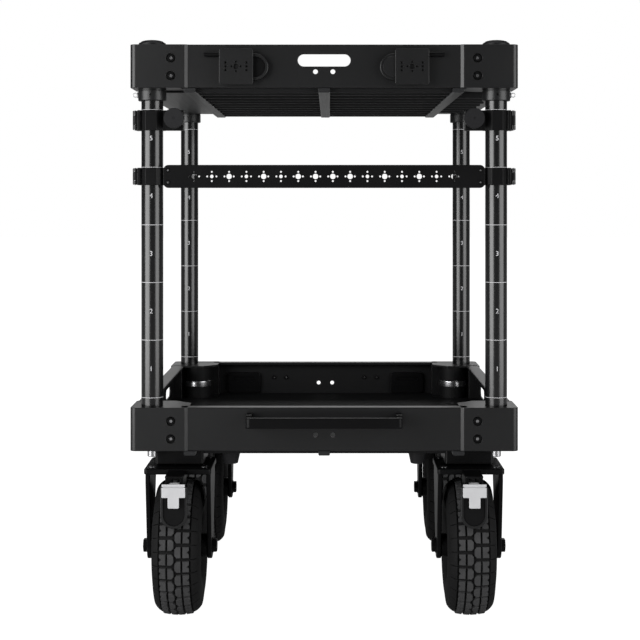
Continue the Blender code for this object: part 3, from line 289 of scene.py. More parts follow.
def rounded_corners(corners, before, after, radii, steps):
    """The arcs of rounded, from the corners and the unit vectors along their two sides."""
    half = np.arccos(np.clip(np.sum(before * after, axis=1), -1, 1))[:, None] / 2
    radii = radii[:, None]
    start = corners + before * radii / np.tan(half)
    end = corners + after * radii / np.tan(half)
    bisector = before + after
    bisector /= np.linalg.norm(bisector, axis=1, keepdims=True)
    centre = corners + bisector * radii / np.sin(half)
    turn = (math.pi - 2 * half)[:, None]
    share = np.linspace(0, 1, steps + 1)[None, :, None]
    first = np.sin((1 - share) * turn) / np.sin(turn)
    second = np.sin(share * turn) / np.sin(turn)
    arcs = centre[:, None] + first * (start - centre)[:, None] + second * (end - centre)[:, None]
    return arcs.reshape(-1, 2)


def rectangle(low, high, radii, steps=5):
    """A rectangle between its lowest and highest corner, with rounded corners."""
    return rounded([low, (high[0], low[1]), high, (low[0], high[1])], radii, steps)


def stadium(centre, length, height, steps=12):
    """A slot outline with full round ends."""
    x, y = centre
    along, across = length / 2, height / 2
    return rectangle((x - along, y - across), (x + along, y + across), across * 0.999, steps)


def inset(outline, distance):
    """An outline moved inwards: each point goes along the mitre of the normals of its two sides."""
    side = np.roll(outline, -1, axis=0) - outline
    side /= np.linalg.norm(side, axis=1, keepdims=True)
    normal = np.stack([side[:, 1], -side[:, 0]], axis=1)
    previous = np.roll(normal, 1, axis=0)
    mitre = (normal + previous) / (1 + np.sum(normal * previous, axis=1, keepdims=True))
    return outline - distance * mitre


def stacked(outline, insets, heights):
    """Rows of an outline turned counterclockwise: each one is moved inwards by its inset, at its height."""
    outline = counterclockwise(np.array(outline, float))
    mitre = outline - inset(outline, 1.0)
    flat = outline[None] - np.array(insets, float)[:, None, None] * mitre[None]
    tall = np.broadcast_to(np.array(heights, float)[:, None, None], flat.shape[:2] + (1,))
    return np.concatenate([flat, tall], axis=2)


def prism(outline, low, high, edge, steps):
    """Rows of a thick outline with rounded edges.

    For t from 0 to a quarter turn the row is inset by edge * (1 - sin t) at height low + edge * (1 - cos t),
    and the upper rows mirror the lower ones.
    """
    quarter = np.linspace(0, math.pi / 2, steps + 1)
    insets = edge * (1 - np.sin(quarter))
    rises = edge * (1 - np.cos(quarter))
    return stacked(outline, [*insets, *insets[::-1]], [*(low + rises), *(high - rises[::-1])])


def revolve(profile, angles):
    """Rows of a profile of (radius, height) points at angles round Z: radius * cos, radius * sin, height."""
    profile = np.array(profile, float)
    radius = profile[:, :1]
    height = np.broadcast_to(profile[:, 1:], (len(profile), len(angles)))
    return np.stack([radius * np.cos(angles), radius * np.sin(angles), height], axis=2)


def lathe(profile, sides):
    """A profile turned once round Z."""
    return revolve(profile, ring_angles(sides))


def hexagon(across_flats, heights, insets):
    """Rows of a hexagonal rod: radius = half width / cos(angle from the nearest flat's middle)."""
    angles = ring_angles(SMALL_SIDES)
    from_flat = np.mod(angles, math.pi / 3) - math.pi / 6
    radius = (across_flats / 2 - np.array(insets)[:, None]) / np.cos(from_flat)
    height = np.broadcast_to(np.array(heights, float)[:, None], radius.shape)
    return np.stack([radius * np.cos(angles), radius * np.sin(angles), height], axis=2)


def torus(ring_radius, wire_radius, wire_sides=8):
    """Rows of a ring: (ring + wire * cos v) * (cos u, sin u), wire * sin v, closed both ways."""
    around = ring_angles(SMALL_SIDES)[:, None]
    wire = ring_angles(wire_sides)[None, :]
    radius = ring_radius + wire_radius * np.cos(wire)
    height = np.broadcast_to(wire_radius * np.sin(wire), (SMALL_SIDES, wire_sides))
    return np.stack([radius * np.cos(around), radius * np.sin(around), height], axis=2)


def lay(rows, plane="XY", at=(0, 0, 0)):
    """Rows drawn in XY with their height along Z, laid in another plane and moved to a place."""
    order = {"XY": (0, 1, 2), "XZ": (0, 2, 1), "YZ": (2, 0, 1)}[plane]
    return rows[..., order] + np.array(at, float)


def slab(outline, low, high, edge, steps, plane="XY", at=(0, 0, 0)):
    """A thick outline with rounded edges, laid in a plane."""
    return lay(prism(outline, low, high, edge, steps), plane, at)


def turned(profile, plane="XY", at=(0, 0, 0), sides=ROUND_SIDES, way=1):
    """A turned profile, laid in a plane; way -1 points its heights the other way."""
    return lay(lathe(profile, sides) * (1, 1, way), plane, at)


def hole_cross(x, z, radius):
    """A hole with a small one on each of its four sides, as places and radii."""
    small = [(x + dx * SMALL_HOLE_REACH, z + dz * SMALL_HOLE_REACH, HOLE_SMALL)
             for dx, dz in ((1, 0), (-1, 0), (0, 1), (0, -1))]
    return [(x, z, radius)] + small


# Meshes and pieces

class Shape:
    """The grids of one piece, gathered and then joined into one mesh."""

    def __init__(self):
        self.points = []
        self.faces = []
        self.finishes = []
        self.count = 0

    def add(self, rows, finish=0, loop=False):
        """Quads between neighbouring rows of a (rows, columns, 3) array, whose columns go once round.

        With loop the last row joins the first, as on a ring; otherwise one face closes each end.
        """
        height, width = rows.shape[:2]
        index = self.count + np.arange(height * width).reshape(height, width)
        low = index if loop else index[:-1]
        high = np.roll(index, -1, axis=0) if loop else index[1:]
        quads = np.stack([low, np.roll(low, -1, axis=1), np.roll(high, -1, axis=1), high], axis=2)
        faces = quads.reshape(-1, 4).tolist()
        if not loop:
            faces += [index[0, ::-1].tolist(), index[-1].tolist()]
        return self.gather(rows.reshape(-1, 3), faces, finish)

    def add_faces(self, points, faces, finish=0):
        """Points, and faces whose corners are numbered from the first of these points."""
        return self.gather(points, [[self.count + corner for corner in face] for face in faces], finish)

    def gather(self, points, faces, finish):
        """Keep points and faces for the mesh."""
        self.points.append(points)
        self.faces += faces
        self.finishes += [finish] * len(faces)
        self.count += len(points)
        return self

    def mesh(self, name):
        """One mesh of all grids, doubles merged and faces turned outwards."""
        mesh = bpy.data.meshes.new(name)
        mesh.from_pydata(np.vstack(self.points), [], self.faces)
        mesh.polygons.foreach_set("material_index", self.finishes)
        bm = bmesh.new()
        bm.from_mesh(mesh)
        bmesh.ops.remove_doubles(bm, verts=bm.verts, dist=MERGE_DISTANCE)
        bmesh.ops.recalc_face_normals(bm, faces=bm.faces)
        bm.to_mesh(mesh)
        bm.free()
        return mesh


def cut_away(item, cutter):
    """Cut the grids of a Shape out of an object, with one exact Boolean that is applied."""
    tool = bpy.data.objects.new(f"{item.name}_cutter", cutter.mesh(f"{item.name}_cutter"))
    bpy.context.collection.objects.link(tool)
    modifier = item.modifiers.new("cut", "BOOLEAN")
    modifier.operation = "DIFFERENCE"
    modifier.object = tool
    graph = bpy.context.evaluated_depsgraph_get()
    mesh = bpy.data.meshes.new_from_object(item.evaluated_get(graph))
    item.modifiers.clear()
    old = item.data
    item.data = mesh
    bpy.data.meshes.remove(old)
    bpy.data.objects.remove(tool, do_unlink=True)


def finish_piece(name, shape, finishes, body, nodes=(), cutter=None, sharp=32):
    """Make a Shape an object of the scene that rides on a body, and stands for nodes of the frame.

    The faces of the Shape number the named finishes. Edges that bend by more than sharp degrees stay sharp.
    """
    item = bpy.data.objects.new(name, shape.mesh(name))
    bpy.context.collection.objects.link(item)
    if cutter is not None:
        cut_away(item, cutter)
    use = np.empty(len(item.data.polygons), np.int32)
    item.data.polygons.foreach_get("material_index", use)
    item.data.materials.clear()
    for kind in finishes:
        item.data.materials.append(finish(kind))
    item.data.polygons.foreach_set("material_index", np.minimum(use, len(finishes) - 1))
    item.data.shade_smooth()
    item.data.set_sharp_from_angle(angle=math.radians(sharp))
    normals = item.modifiers.new("face_weighted", "WEIGHTED_NORMAL")
    normals.keep_sharp = True
    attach(item, body)
    if nodes:
        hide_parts(*nodes)
    return item


def finish_facing(item, direction, index):
    """Give the faces that look along a direction another of the piece's finishes."""
    faces = item.data.polygons
    normal = np.empty(len(faces) * 3, np.float32)
    use = np.empty(len(faces), np.int32)
    faces.foreach_get("normal", normal)
    faces.foreach_get("material_index", use)
    use[normal.reshape(-1, 3) @ np.array(direction) > SAME_WAY] = index
    faces.foreach_set("material_index", use)


# Small fasteners

def socket_screw(radius, height, key, depth):
    """Rows of a socket head: a turned head with a broken edge, whose ring becomes a hexagon and goes down."""
    edge = radius * 0.12
    head = lathe([(radius, 0), (radius, height - edge), (radius - edge, height)], SMALL_SIDES)
    recess = hexagon(key, [height, height - depth], [0, 0])
    return np.concatenate([head, recess])


def add_screw(shape, place, way, size):
    """A socket screw along Y, whose hexagon has a floor of the piece's second finish as a painted highlight.
    """
    _, height, key, depth = size
    bottom = height - depth
    # The hexagon's floor takes the bright second finish on a black screw: a painted highlight in the recess.
    floor = hexagon(key - 0.0004, [bottom - 0.0004, bottom + 0.0006], [0, 0])
    shape.add(lay(socket_screw(*size) * (1, 1, way), "XZ", place))
    shape.add(lay(floor * (1, 1, way), "XZ", place), 1)


# Shader maths

class Value:
    """A number socket that takes part in sums: each operator adds one Math node."""

    def __init__(self, owner, socket):
        self.owner = owner
        self.socket = socket

    def math(self, operation, first, second):
        """A Math node with this operation on two values or numbers."""
        return self.owner.node("ShaderNodeMath", {"operation": operation}, {0: first, 1: second}).value()

    def __add__(self, other):
        return self.math("ADD", self, other)

    def __radd__(self, other):
        return self.math("ADD", other, self)

    def __sub__(self, other):
        return self.math("SUBTRACT", self, other)

    def __rsub__(self, other):
        return self.math("SUBTRACT", other, self)

    def __mul__(self, other):
        return self.math("MULTIPLY", self, other)

    def __rmul__(self, other):
        return self.math("MULTIPLY", other, self)

    def __pow__(self, other):
        return self.math("POWER", self, other)

    def __rpow__(self, other):
        return self.math("POWER", other, self)

    def capped(self):
        """This value, but never more than 1."""
        return self.math("MINIMUM", self, 1.0)


class Node:
    """A shader node with quick ways to its outputs."""

    def __init__(self, owner, node):
        self.owner = owner
        self.node = node

    def value(self, output=0):
        """An output as a Value."""
        return Value(self.owner, self.node.outputs[output])

    def colour(self, output="Color"):
        """An output socket for a colour, a vector or a shader."""
        return self.node.outputs[output]


class Tree:
    """A node tree, with one method for any node."""

    def __init__(self, tree):
        self.tree = tree
        self.shader = tree.nodes.get("Principled BSDF")

    def feed(self, values, node=None):
        """Set or link the sockets of the shader, or of another node."""
        target = node or self.shader
        for key, value in values.items():
            socket = target.inputs[key]
            source = value.socket if isinstance(value, Value) else value
            if isinstance(source, bpy.types.NodeSocket):
                self.tree.links.new(source, socket)
            else:
                socket.default_value = source

    def node(self, kind, settings=None, values=None):
        """Any node: its settings first, then the values or links of its sockets."""
        made = self.tree.nodes.new(kind)
        for key, value in (settings or {}).items():
            setattr(made, key, value)
        self.feed(values or {}, made)
        return Node(self, made)


def scaled(colour, factor):
    """A colour with each channel times a factor."""
    return tuple(channel * factor for channel in colour)


class Finish(Tree):
    """A node material about one Principled shader."""

    def __init__(self, name, colour, roughness, metallic=0.0, specular=0.5):
        self.material = bpy.data.materials.new(name)
        self.material.use_nodes = True
        self.material.diffuse_color = (*colour, 1)
        super().__init__(self.material.node_tree)
        self.colour = tuple(colour)
        self.feed({"Base Color": (*colour, 1), "Roughness": roughness, "Metallic": metallic,
                   "Specular IOR Level": specular})

    def place(self, scale=(1, 1, 1)):
        """Object coordinates, stretched by a scale along each axis."""
        spot = self.node("ShaderNodeTexCoord").colour("Object")
        return self.node("ShaderNodeMapping", {}, {"Vector": spot, "Scale": scale}).colour("Vector")

    def noise(self, scale, detail, roughness=0.55, stretch=(1, 1, 1)):
        """A noise of so many grains to the metre."""
        return self.node("ShaderNodeTexNoise", {}, {"Vector": self.place(stretch), "Scale": scale,
                                                    "Detail": detail, "Roughness": roughness}).value("Fac")

    def tint(self, share, light, dark):
        """A colour between the base colour times dark and times light, by a share."""
        low = scaled(self.colour, dark)
        high = tuple(min(channel, 1) for channel in scaled(self.colour, light))
        mix = self.node("ShaderNodeMix", {"data_type": "RGBA"},
                        {"Factor": share, 6: (*low, 1), 7: (*high, 1)})
        return mix.colour(2)

    def bump(self, height, depth, strength):
        """A bump of a real depth in metres, fed to the normal."""
        made = self.node("ShaderNodeBump", {}, {"Height": height, "Distance": depth, "Strength": strength})
        self.feed({"Normal": made.colour("Normal")})


def anodised_finish(settings):
    """Blasted and anodised aluminium: fine even grain, faint clouds of gloss."""
    look = Finish("anodised_black", settings.anodised, 0.34, specular=0.42)
    clouds = look.noise(9, 3)
    grain = look.noise(1800, 2)
    look.feed({"Base Color": look.tint(clouds, 1.18, 0.86), "Roughness": 0.30 + clouds * 0.07 + grain * 0.04})
    look.bump(grain, 0.00004, 0.35)
    return look.material


def deep_finish(settings):
    """Hard black anodising of the bar, the clamps and the swivel blocks: even and satin. As the thin floors
    of the boss and brake wells it is painted shade of those recesses.
    """
    look = Finish("deep_black", settings.deep, 0.34, specular=0.16)
    clouds = look.noise(16, 3)
    grain = look.noise(1500, 2)
    look.feed({"Base Color": look.tint(clouds, 1.3, 0.8), "Roughness": 0.28 + clouds * 0.10 + grain * 0.05})
    look.bump(grain, 0.00003, 0.3)
    return look.material


def tube_finish(settings):
    """Drawn and anodised tube: fine lines along its length, smoother than the castings."""
    look = Finish("tube_black", settings.tube, 0.22, specular=0.58)
    lines = look.noise(900, 2, stretch=(1, 1, 0.02))
    clouds = look.noise(12, 3, stretch=(1, 1, 0.3))
    look.feed({"Base Color": look.tint(clouds, 1.25, 0.85), "Roughness": 0.17 + lines * 0.07 + clouds * 0.03})
    look.bump(lines, 0.00003, 0.3)
    return look.material


def sheet_finish(settings):
    """Coated sheet of the tray floors: a fine pebble, a little dust."""
    look = Finish("sheet_black", settings.anodised, 0.5, specular=0.16)
    pebble = look.noise(1100, 2)
    dust = look.noise(6, 5, 0.65)
    look.feed({"Base Color": look.tint(dust, 1.35, 0.85), "Roughness": 0.52 + dust * 0.18})
    look.bump(pebble, 0.00008, 0.4)
    return look.material


def rail_underlit_finish(settings):
    """Extruded rail below the floors: lines of the die along its length, and a colour lighter than the
    sheet's as painted light from the floor on these undersides.
    """
    # Lighter than the anodised colour: painted light of the floor's bounce on the undersides.
    look = Finish("rail_grey", scaled(settings.anodised, 2.4), 0.38, specular=0.30)
    lines = look.noise(700, 2, stretch=(1, 0.01, 1))
    look.feed({"Base Color": look.tint(lines, 1.2, 0.85), "Roughness": 0.30 + lines * 0.16})
    look.bump(lines, 0.00004, 0.3)
    return look.material


def steel_finish(settings):
    """Coated steel of the forks, the handle and the brakes: a slightly wavy powder coat."""
    look = Finish("coated_steel", settings.steel, 0.38, specular=0.13)
    waves = look.noise(420, 2)
    clouds = look.noise(14, 3)
    look.feed({"Base Color": look.tint(clouds, 1.3, 0.85), "Roughness": 0.30 + clouds * 0.14})
    look.bump(waves, 0.00010, 0.35)
    return look.material


def rubber_finish(settings):
    """Tyre rubber: matt, with dusty patches and a fine grain."""
    look = Finish("tyre_rubber", settings.rubber, 0.8, specular=0.13)
    dust = look.noise(22, 6, 0.7)
    grain = look.noise(1500, 2)
    look.feed({"Base Color": look.tint(dust ** 2.0, 2.1, 0.8), "Roughness": 0.66 + dust * 0.22})
    look.bump(grain, 0.00012, 0.5)
    return look.material


def shaded_carcass_finish(settings):
    """Rubber between the blocks and on the side walls: darker than the tread as painted shade between the
    blocks, and with less dust.
    """
    # A fifth of the tread's colour: painted shade in the grooves between the blocks.
    look = Finish("carcass_rubber", scaled(settings.rubber, 0.20), 0.7, specular=0.08)
    dust = look.noise(18, 5, 0.7)
    grain = look.noise(1500, 2)
    look.feed({"Base Color": look.tint(dust, 1.6, 0.7), "Roughness": 0.60 + dust * 0.2})
    look.bump(grain, 0.00008, 0.5)
    return look.material


def plastic_finish(settings):
    """Moulded plastic of the knobs, the post caps and the bumpers: spark-eroded grain."""
    look = Finish("moulded_black", scaled(settings.steel, 3.5), 0.48, specular=0.21)
    grain = look.noise(1300, 3)
    look.feed({"Base Color": look.tint(grain, 1.5, 0.9), "Roughness": 0.40 + grain * 0.14})
    look.bump(grain, 0.00008, 0.5)
    return look.material


def pale_metal_finish(settings):
    """Satin nickel of the pedals and pull pins: fine brushing across, clouds of gloss."""
    look = Finish("pale_metal", settings.pale_metal, 0.34, metallic=0.40)
    brushing = look.noise(600, 3, stretch=(0.04, 1, 1))
    clouds = look.noise(40, 3)
    look.feed({"Base Color": look.tint(clouds, 1.08, 0.88),
               "Roughness": 0.26 + brushing * 0.14 + clouds * 0.06})
    look.bump(brushing, 0.00003, 0.4)
    return look.material


def bright_finish(settings):
    """Bright zinc of bolts and bands, and a painted highlight on the floors of the socket screws' hexagons.
    """
    look = Finish("bright_zinc", settings.pale_metal, 0.18, metallic=1.0)
    clouds = look.noise(60, 4)
    look.feed({"Base Color": look.tint(clouds, 1.12, 0.8), "Roughness": 0.20 + clouds * 0.12})
    return look.material


def print_finish(settings):
    """Printed marks: matt paint with a slightly uneven edge of cover."""
    look = Finish("printed_marks", settings.print_white, 0.55)
    wear = look.noise(700, 3)
    look.feed({"Base Color": look.tint(wear, 1.1, 0.8), "Roughness": 0.5 + wear * 0.1})
    return look.material


FINISHES = {
    "anodised": anodised_finish,
    "deep": deep_finish,
    "tube": tube_finish,
    "sheet": sheet_finish,
    "rail": rail_underlit_finish,
    "steel": steel_finish,
    "rubber": rubber_finish,
    "carcass": shaded_carcass_finish,
    "plastic": plastic_finish,
    "pale": pale_metal_finish,
    "bright": bright_finish,
    "print": print_finish,
}
MADE = {}


def finish(name):
    """A finish by name, made once."""
    if name not in MADE:
        MADE[name] = FINISHES[name](bpy.context.scene.cart_finish)
    return MADE[name]


# Trays

def post_place(side, end):
    """Where a post stands, on the floor."""
    return side * POST_X, end * POST_Y + MIDDLE_Y, 0


def from_corner(outline, side, end):
    """An outline drawn inwards from a tray's outer corner, turned to that corner and moved there."""
    return (np.array((HALF_WIDTH, HALF_LENGTH)) - outline) * (side, end) + (0, MIDDLE_Y)


def corner_outline(side, end):
    """Plan of a corner casting: a round outer corner, narrow bevels to the walls and an inner diagonal."""
    bevel_at, cut_at = CORNER_SIZE - CORNER_BEVEL, CORNER_SIZE - CORNER_CUT
    points = [(cut_at, CORNER_SIZE), (PANEL_RECESS, CORNER_SIZE), (0, bevel_at), (0, 0), (bevel_at, 0),
              (CORNER_SIZE, PANEL_RECESS), (CORNER_SIZE, cut_at)]
    radii = [0.003, BEVEL_ROUND, BEVEL_ROUND, CORNER_ROUND, BEVEL_ROUND, BEVEL_ROUND, 0.003]
    return from_corner(rounded(points, radii), side, end)


def open_corner_outline(side, end):
    """Plan of the outer wall of a lower corner, between its two plates."""
    reach, thick = 0.030, 0.024
    bevel_at = CORNER_SIZE - CORNER_BEVEL
    points = [(thick, CORNER_SIZE), (PANEL_RECESS, CORNER_SIZE), (0, bevel_at), (0, 0), (bevel_at, 0),
              (CORNER_SIZE, PANEL_RECESS), (CORNER_SIZE, reach), (thick, reach)]
    radii = [0.001, BEVEL_ROUND, BEVEL_ROUND, CORNER_ROUND, BEVEL_ROUND, BEVEL_ROUND, 0.001, 0.001]
    return from_corner(rounded(points, radii), side, end)


def corner_boss_outline(side, end):
    """Plan of the boss in a lower corner: round about the band's middle, and square towards the post."""
    x, y = BAND_IN
    root = 0.020
    points = [(root, root), (x + BAND_RADIUS, root), (x + BAND_RADIUS, y + BAND_RADIUS),
              (x - BAND_RADIUS, y + BAND_RADIUS), (x - BAND_RADIUS, y), (root, y)]
    full = BAND_RADIUS * 0.99
    return from_corner(rounded(points, [0.001, 0.001, full, full, 0.0004, 0.001], 8), side, end)


def corner_piece(level, place):
    """A corner casting with its bore, counterbores and screws."""
    side, end = CORNERS[place]
    low = LEVELS[level]
    high = low + TRAY_HEIGHT
    plan, floor = (open_corner_outline, 0.004) if level == "lower" else (corner_outline, -0.03)
    body = Shape().add(prism(plan(side, end), low, high, bpy.context.scene.cart_detail.edge, 3))
    bore_mouth = BORE + 0.0016
    cutter = Shape().add(turned([(BORE, low + floor), (BORE, high - 0.001), (bore_mouth, high + 0.0006),
                                 (bore_mouth, high + 0.02)], at=post_place(side, end)))
    screws = Shape()
    face = end * HALF_LENGTH + MIDDLE_Y
    well, mouth, depth = 0.008, 0.0087, 0.005
    counterbore = [(well, -depth), (well, -0.0005), (mouth, 0.0002), (mouth, 0.004)]
    for drop in SCREW_DROPS:
        x, z = side * (HALF_WIDTH - SCREW_IN), high - drop
        cutter.add(turned(counterbore, "XZ", (x, face, z), PIN_SIDES, end))
        add_screw(screws, (x, face - end * depth, z), end, CORNER_SCREW)
    finish_piece(f"{level}_corner_casting_{place}", body, ["anodised"], "chassis",
                 [f"{level}_corner_{place}"], cutter)
    # The bright second finish is the painted highlight in the screws' hexagons.
    finish_piece(f"{level}_corner_screws_{place}", screws, ["steel", "bright"], "chassis")


def corner_inside(place):
    """The plates that close a lower corner below and above, the boss between them and its bright band."""
    side, end = CORNERS[place]
    at = post_place(side, end)
    thick, gap = 0.0045, 0.004
    boss = Shape().add(prism(corner_boss_outline(side, end), LOWER_Z + gap, LOWER_Z + TRAY_HEIGHT - gap,
                             0.0003, 1))
    through = Shape().add(turned([(BORE, LOWER_Z - 0.03), (BORE, LOWER_Z + 0.12)], at=at))
    finish_piece(f"lower_corner_boss_{place}", boss, ["sheet"], "chassis", cutter=through)
    plates = Shape()
    plan = inset(counterclockwise(corner_outline(side, end)), FIT)
    for low in (LOWER_Z + FIT, LOWER_Z + TRAY_HEIGHT - thick - FIT):
        plates.add(prism(plan, low, low + thick, 0.0006, 2))
    upper_only = Shape().add(turned([(BORE, LOWER_Z + 0.03), (BORE, LOWER_Z + 0.12)], at=at))
    finish_piece(f"lower_corner_plates_{place}", plates, ["anodised"], "chassis",
                 cutter=upper_only)
    centre = from_corner(np.array(BAND_IN), side, end)
    low, tall = LOWER_Z + 0.028, 0.014
    swell, edge = 0.0014, 0.0017
    profile = [(BAND_RADIUS, 0), (BAND_RADIUS + swell, 0.0010), (BAND_RADIUS + edge, 0.0035),
               (BAND_RADIUS + edge, tall - 0.0035), (BAND_RADIUS + swell, tall - 0.0010), (BAND_RADIUS, tall)]
    band = Shape().add(turned(profile, at=(*centre, low), sides=TUBE_SIDES))
    finish_piece(f"corner_band_{place}", band, ["bright"], "chassis")


def collar_piece(place):
    """The collar below an upper corner: a turned ring with a groove, a dimple and a side hole for its pin."""
    side, end = CORNERS[place]
    x, y, _ = post_place(side, end)
    top = UPPER_Z + 0.0005
    groove = COLLAR_RADIUS - 0.0007
    edge = 0.0012
    profile = [(BORE, COLLAR_Z + 0.0008), (BORE + 0.0008, COLLAR_Z), (COLLAR_RADIUS - edge, COLLAR_Z),
               (COLLAR_RADIUS, COLLAR_Z + edge), (COLLAR_RADIUS, top - 0.0045), (groove, top - 0.0040),
               (groove, top - 0.0030), (COLLAR_RADIUS, top - 0.0025), (COLLAR_RADIUS, top), (BORE, top)]
    ring = Shape().add(turned(profile, at=(x, y, 0), sides=TUBE_SIDES), loop=True)
    middle = (COLLAR_Z + UPPER_Z) / 2
    dimple, pin_hole = 0.002, 0.0033
    cutter = Shape()
    cutter.add(turned([(dimple, -0.003), (dimple, 0.003)], "XZ", (x, y - COLLAR_RADIUS, middle), SMALL_SIDES))
    cutter.add(turned([(pin_hole, -0.006), (pin_hole, 0.006)], "YZ",
                      (x + side * (COLLAR_RADIUS + BORE) / 2, y, middle), SMALL_SIDES))
    finish_piece(f"collar_{place}", ring, ["anodised"], "chassis", cutter=cutter)


class CART_OT_corners(bpy.types.Operator):
    """Make the eight corner castings, their screws, collars and bands."""
    bl_idname = "cart.corners"
    bl_label = "Corner castings"

    def execute(self, context):
        for place in CORNERS:
            corner_piece("lower", place)
            corner_inside(place)
            corner_piece("upper", place)
            collar_piece(place)
        return {"FINISHED"}


def wall_section():
    """Section of a wall in depth and height: a web with an inward lip at its top and a foot below."""
    lip = TRAY_HEIGHT - PANEL_LIP
    points = [(0, 0), (PANEL_FLANGE, 0), (PANEL_FLANGE, PANEL_FOOT), (PANEL_WALL, PANEL_FOOT),
              (PANEL_WALL, lip), (PANEL_FLANGE, lip), (PANEL_FLANGE, TRAY_HEIGHT), (0, TRAY_HEIGHT)]
    return rounded(points, [0.0020, 0.0008, 0.0008, 0.0010, 0.0010, 0.0010, 0.0016, 0.0022], 4)


def wall_cutter(level, axis, inward, face):
    """Cutter of a wall: holes and an upper hand slot at the cart's ends, two slots in each lower side."""
    top = LEVELS[level] + TRAY_HEIGHT
    slot = slot_rows(stadium((0, 0), *HAND_SLOT)) * (1, 1, inward)
    cutter = Shape()
    if axis == 1:
        for side in (-1, 1):
            cutter.add(lay(hole_rows(PANEL_HOLE / 2) * (1, 1, inward), "XZ",
                           (side * PANEL_HOLE_SPACING / 2, face, top - PANEL_HOLE_DROP)))
        if level == "upper":
            cutter.add(lay(slot, "XZ", (0, face, top - HAND_SLOT_DROP)))
    elif level == "lower":
        for end in (-1, 1):
            y = MIDDLE_Y + end * SIDE_SLOT_SPACING / 2
            cutter.add(lay(slot, "YZ", (face, y, top - SIDE_SLOT_DROP)))
    return cutter


def wall_piece(level, place):
    """One wall of a tray: its section carried along, with the sheet's finish on the inner face of its web."""
    node = f"{level}_{place}_panel"
    box = corner_box(node)
    axis, inward = WALLS[place]
    face = box[0][axis] if inward > 0 else box[1][axis]
    rows = prism(wall_section(), box[0][1 - axis], box[1][1 - axis], 0.0004, 1)
    depth, height, length = face + inward * rows[..., 0], rows[..., 1] + LEVELS[level], rows[..., 2]
    wall = Shape().add(np.stack([length, depth, height] if axis == 1 else [depth, length, height], axis=2))
    cutter = wall_cutter(level, axis, inward, face)
    item = finish_piece(f"{level}_{place}_wall", wall, ["anodised", "sheet"], "chassis",
                        [node], cutter if cutter.count else None)
    finish_facing(item, inward * np.eye(3)[axis], 1)


def hole_rows(radius, reach=0.004, flare=0.0005):
    """Cutter of a round hole through a wall whose outer face is at height 0, with a broken outer edge."""
    wide = radius + flare
    return lathe([(wide, -reach), (wide, 0), (radius, flare), (radius, PANEL_WALL + reach)], SMALL_SIDES)


def slot_rows(outline, reach=0.004, flare=0.0012):
    """Cutter of a slot through a wall, flared by a quarter round at its outer face.

    For t from 0 to a quarter turn the row is flare * (1 - sin t) wider at depth flare * (1 - cos t).
    """
    quarter = np.linspace(0, math.pi / 2, 4)
    wider = np.concatenate([[flare], flare * (1 - np.sin(quarter)), [0]])
    depth = np.concatenate([[-reach], flare * (1 - np.cos(quarter)), [PANEL_WALL + reach]])
    return stacked(outline, -wider, depth)


def latch_housings():
    """Two shallow housings with a finger slot, and small screws, on the inner face of the lower rear wall."""
    face = corner_box("lower_rear_panel")[1][1] - PANEL_WALL
    low = LOWER_Z + 0.0053
    half, tall, thick = 0.036, 0.046, 0.008
    housings = Shape()
    cutter = Shape()
    screws = Shape()
    for side in (-1, 1):
        x = side * 0.181
        outline = rectangle((x - half, low), (x + half, low + tall), 0.0075, 6)
        housings.add(slab(outline, face - thick, face + 0.0005, 0.0015, 3, "XZ"))
        slot = stadium((x, low + 0.0322), 0.048, 0.009, 8)
        cutter.add(slab(slot, face - 0.012, face - 0.004, 0.0002, 1, "XZ"))
        for spot in (side * 0.087, side * 0.114):
            add_screw(screws, (spot, face, LOWER_Z + 0.040), -1, WALL_SCREW)
    finish_piece("latch_housings", housings, ["steel"], "chassis", cutter=cutter)
    # The bright second finish is the painted highlight in the screws' hexagons.
    finish_piece("rear_wall_screws", screws, ["steel", "bright"], "chassis")


class CART_OT_walls(bpy.types.Operator):
    """Make the eight walls of the trays and the latch housings of the lower rear one."""
    bl_idname = "cart.walls"
    bl_label = "Tray walls"

    def execute(self, context):
        for level in LEVELS:
            for place in WALLS:
                wall_piece(level, place)
        latch_housings()
        return {"FINISHED"}


def deck_outline():
    """Plan of a tray floor: a rectangle inside the walls, cut back round the corner castings."""
    out_x = SIDE_FACE - PANEL_WALL - FIT
    out_y = PANEL_FACE - PANEL_WALL - FIT
    near_x = HALF_WIDTH - CORNER_SIZE - FIT
    near_y = HALF_LENGTH - CORNER_SIZE - FIT
    quarter = [(near_x, out_y), (near_x, near_y + CORNER_CUT), (near_x + CORNER_CUT, near_y), (out_x, near_y)]
    outline = []
    for side, end in ((1, 1), (1, -1), (-1, -1), (-1, 1)):
        points = [(x * side, y * end) for x, y in quarter]
        outline += points if side * end > 0 else points[::-1]
    return np.array(outline) + (0, MIDDLE_Y)


def rib_reach(level, y):
    """How far a rib goes to the left and to the right: between the rails below, to the walls above."""
    if level == "lower":
        return SIDE_RAIL - 0.022, SIDE_RAIL - 0.022
    beside_corner = abs(y) + RIB_HALF > HALF_LENGTH - CORNER_SIZE
    return SIDE_RAIL, HALF_WIDTH - CORNER_SIZE - 0.002 if beside_corner else SIDE_FACE - PANEL_FLANGE - 0.001


def deck_piece(level):
    """A sheet floor with pressed cross ribs."""
    low = LEVELS[level]
    plate = Shape().add(prism(deck_outline(), low + 0.003, low + 0.005, 0.0002, 1))
    foot, depth, root = 0.007, 0.0070, 0.0034
    section = rounded([(-RIB_HALF, root), (-foot, -depth), (foot, -depth), (RIB_HALF, root)],
                      [0.0008, 0.002, 0.002, 0.0008], 4)
    for index in range(-RIB_PAIRS, RIB_PAIRS + 1):
        y = index * RIB_SPACING
        if abs(index) == RIB_PAIRS:
            y = math.copysign(PANEL_FACE - PANEL_FLANGE, y)
        left, right = rib_reach(level, y)
        rows = prism(section, -left, right, 0.0006, 2)
        plate.add(np.stack([rows[..., 2], rows[..., 0] + y + MIDDLE_Y, rows[..., 1] + low], axis=2))
    finish_piece(f"{level}_floor", plate, ["sheet"], "chassis", [f"{level}_deck"])


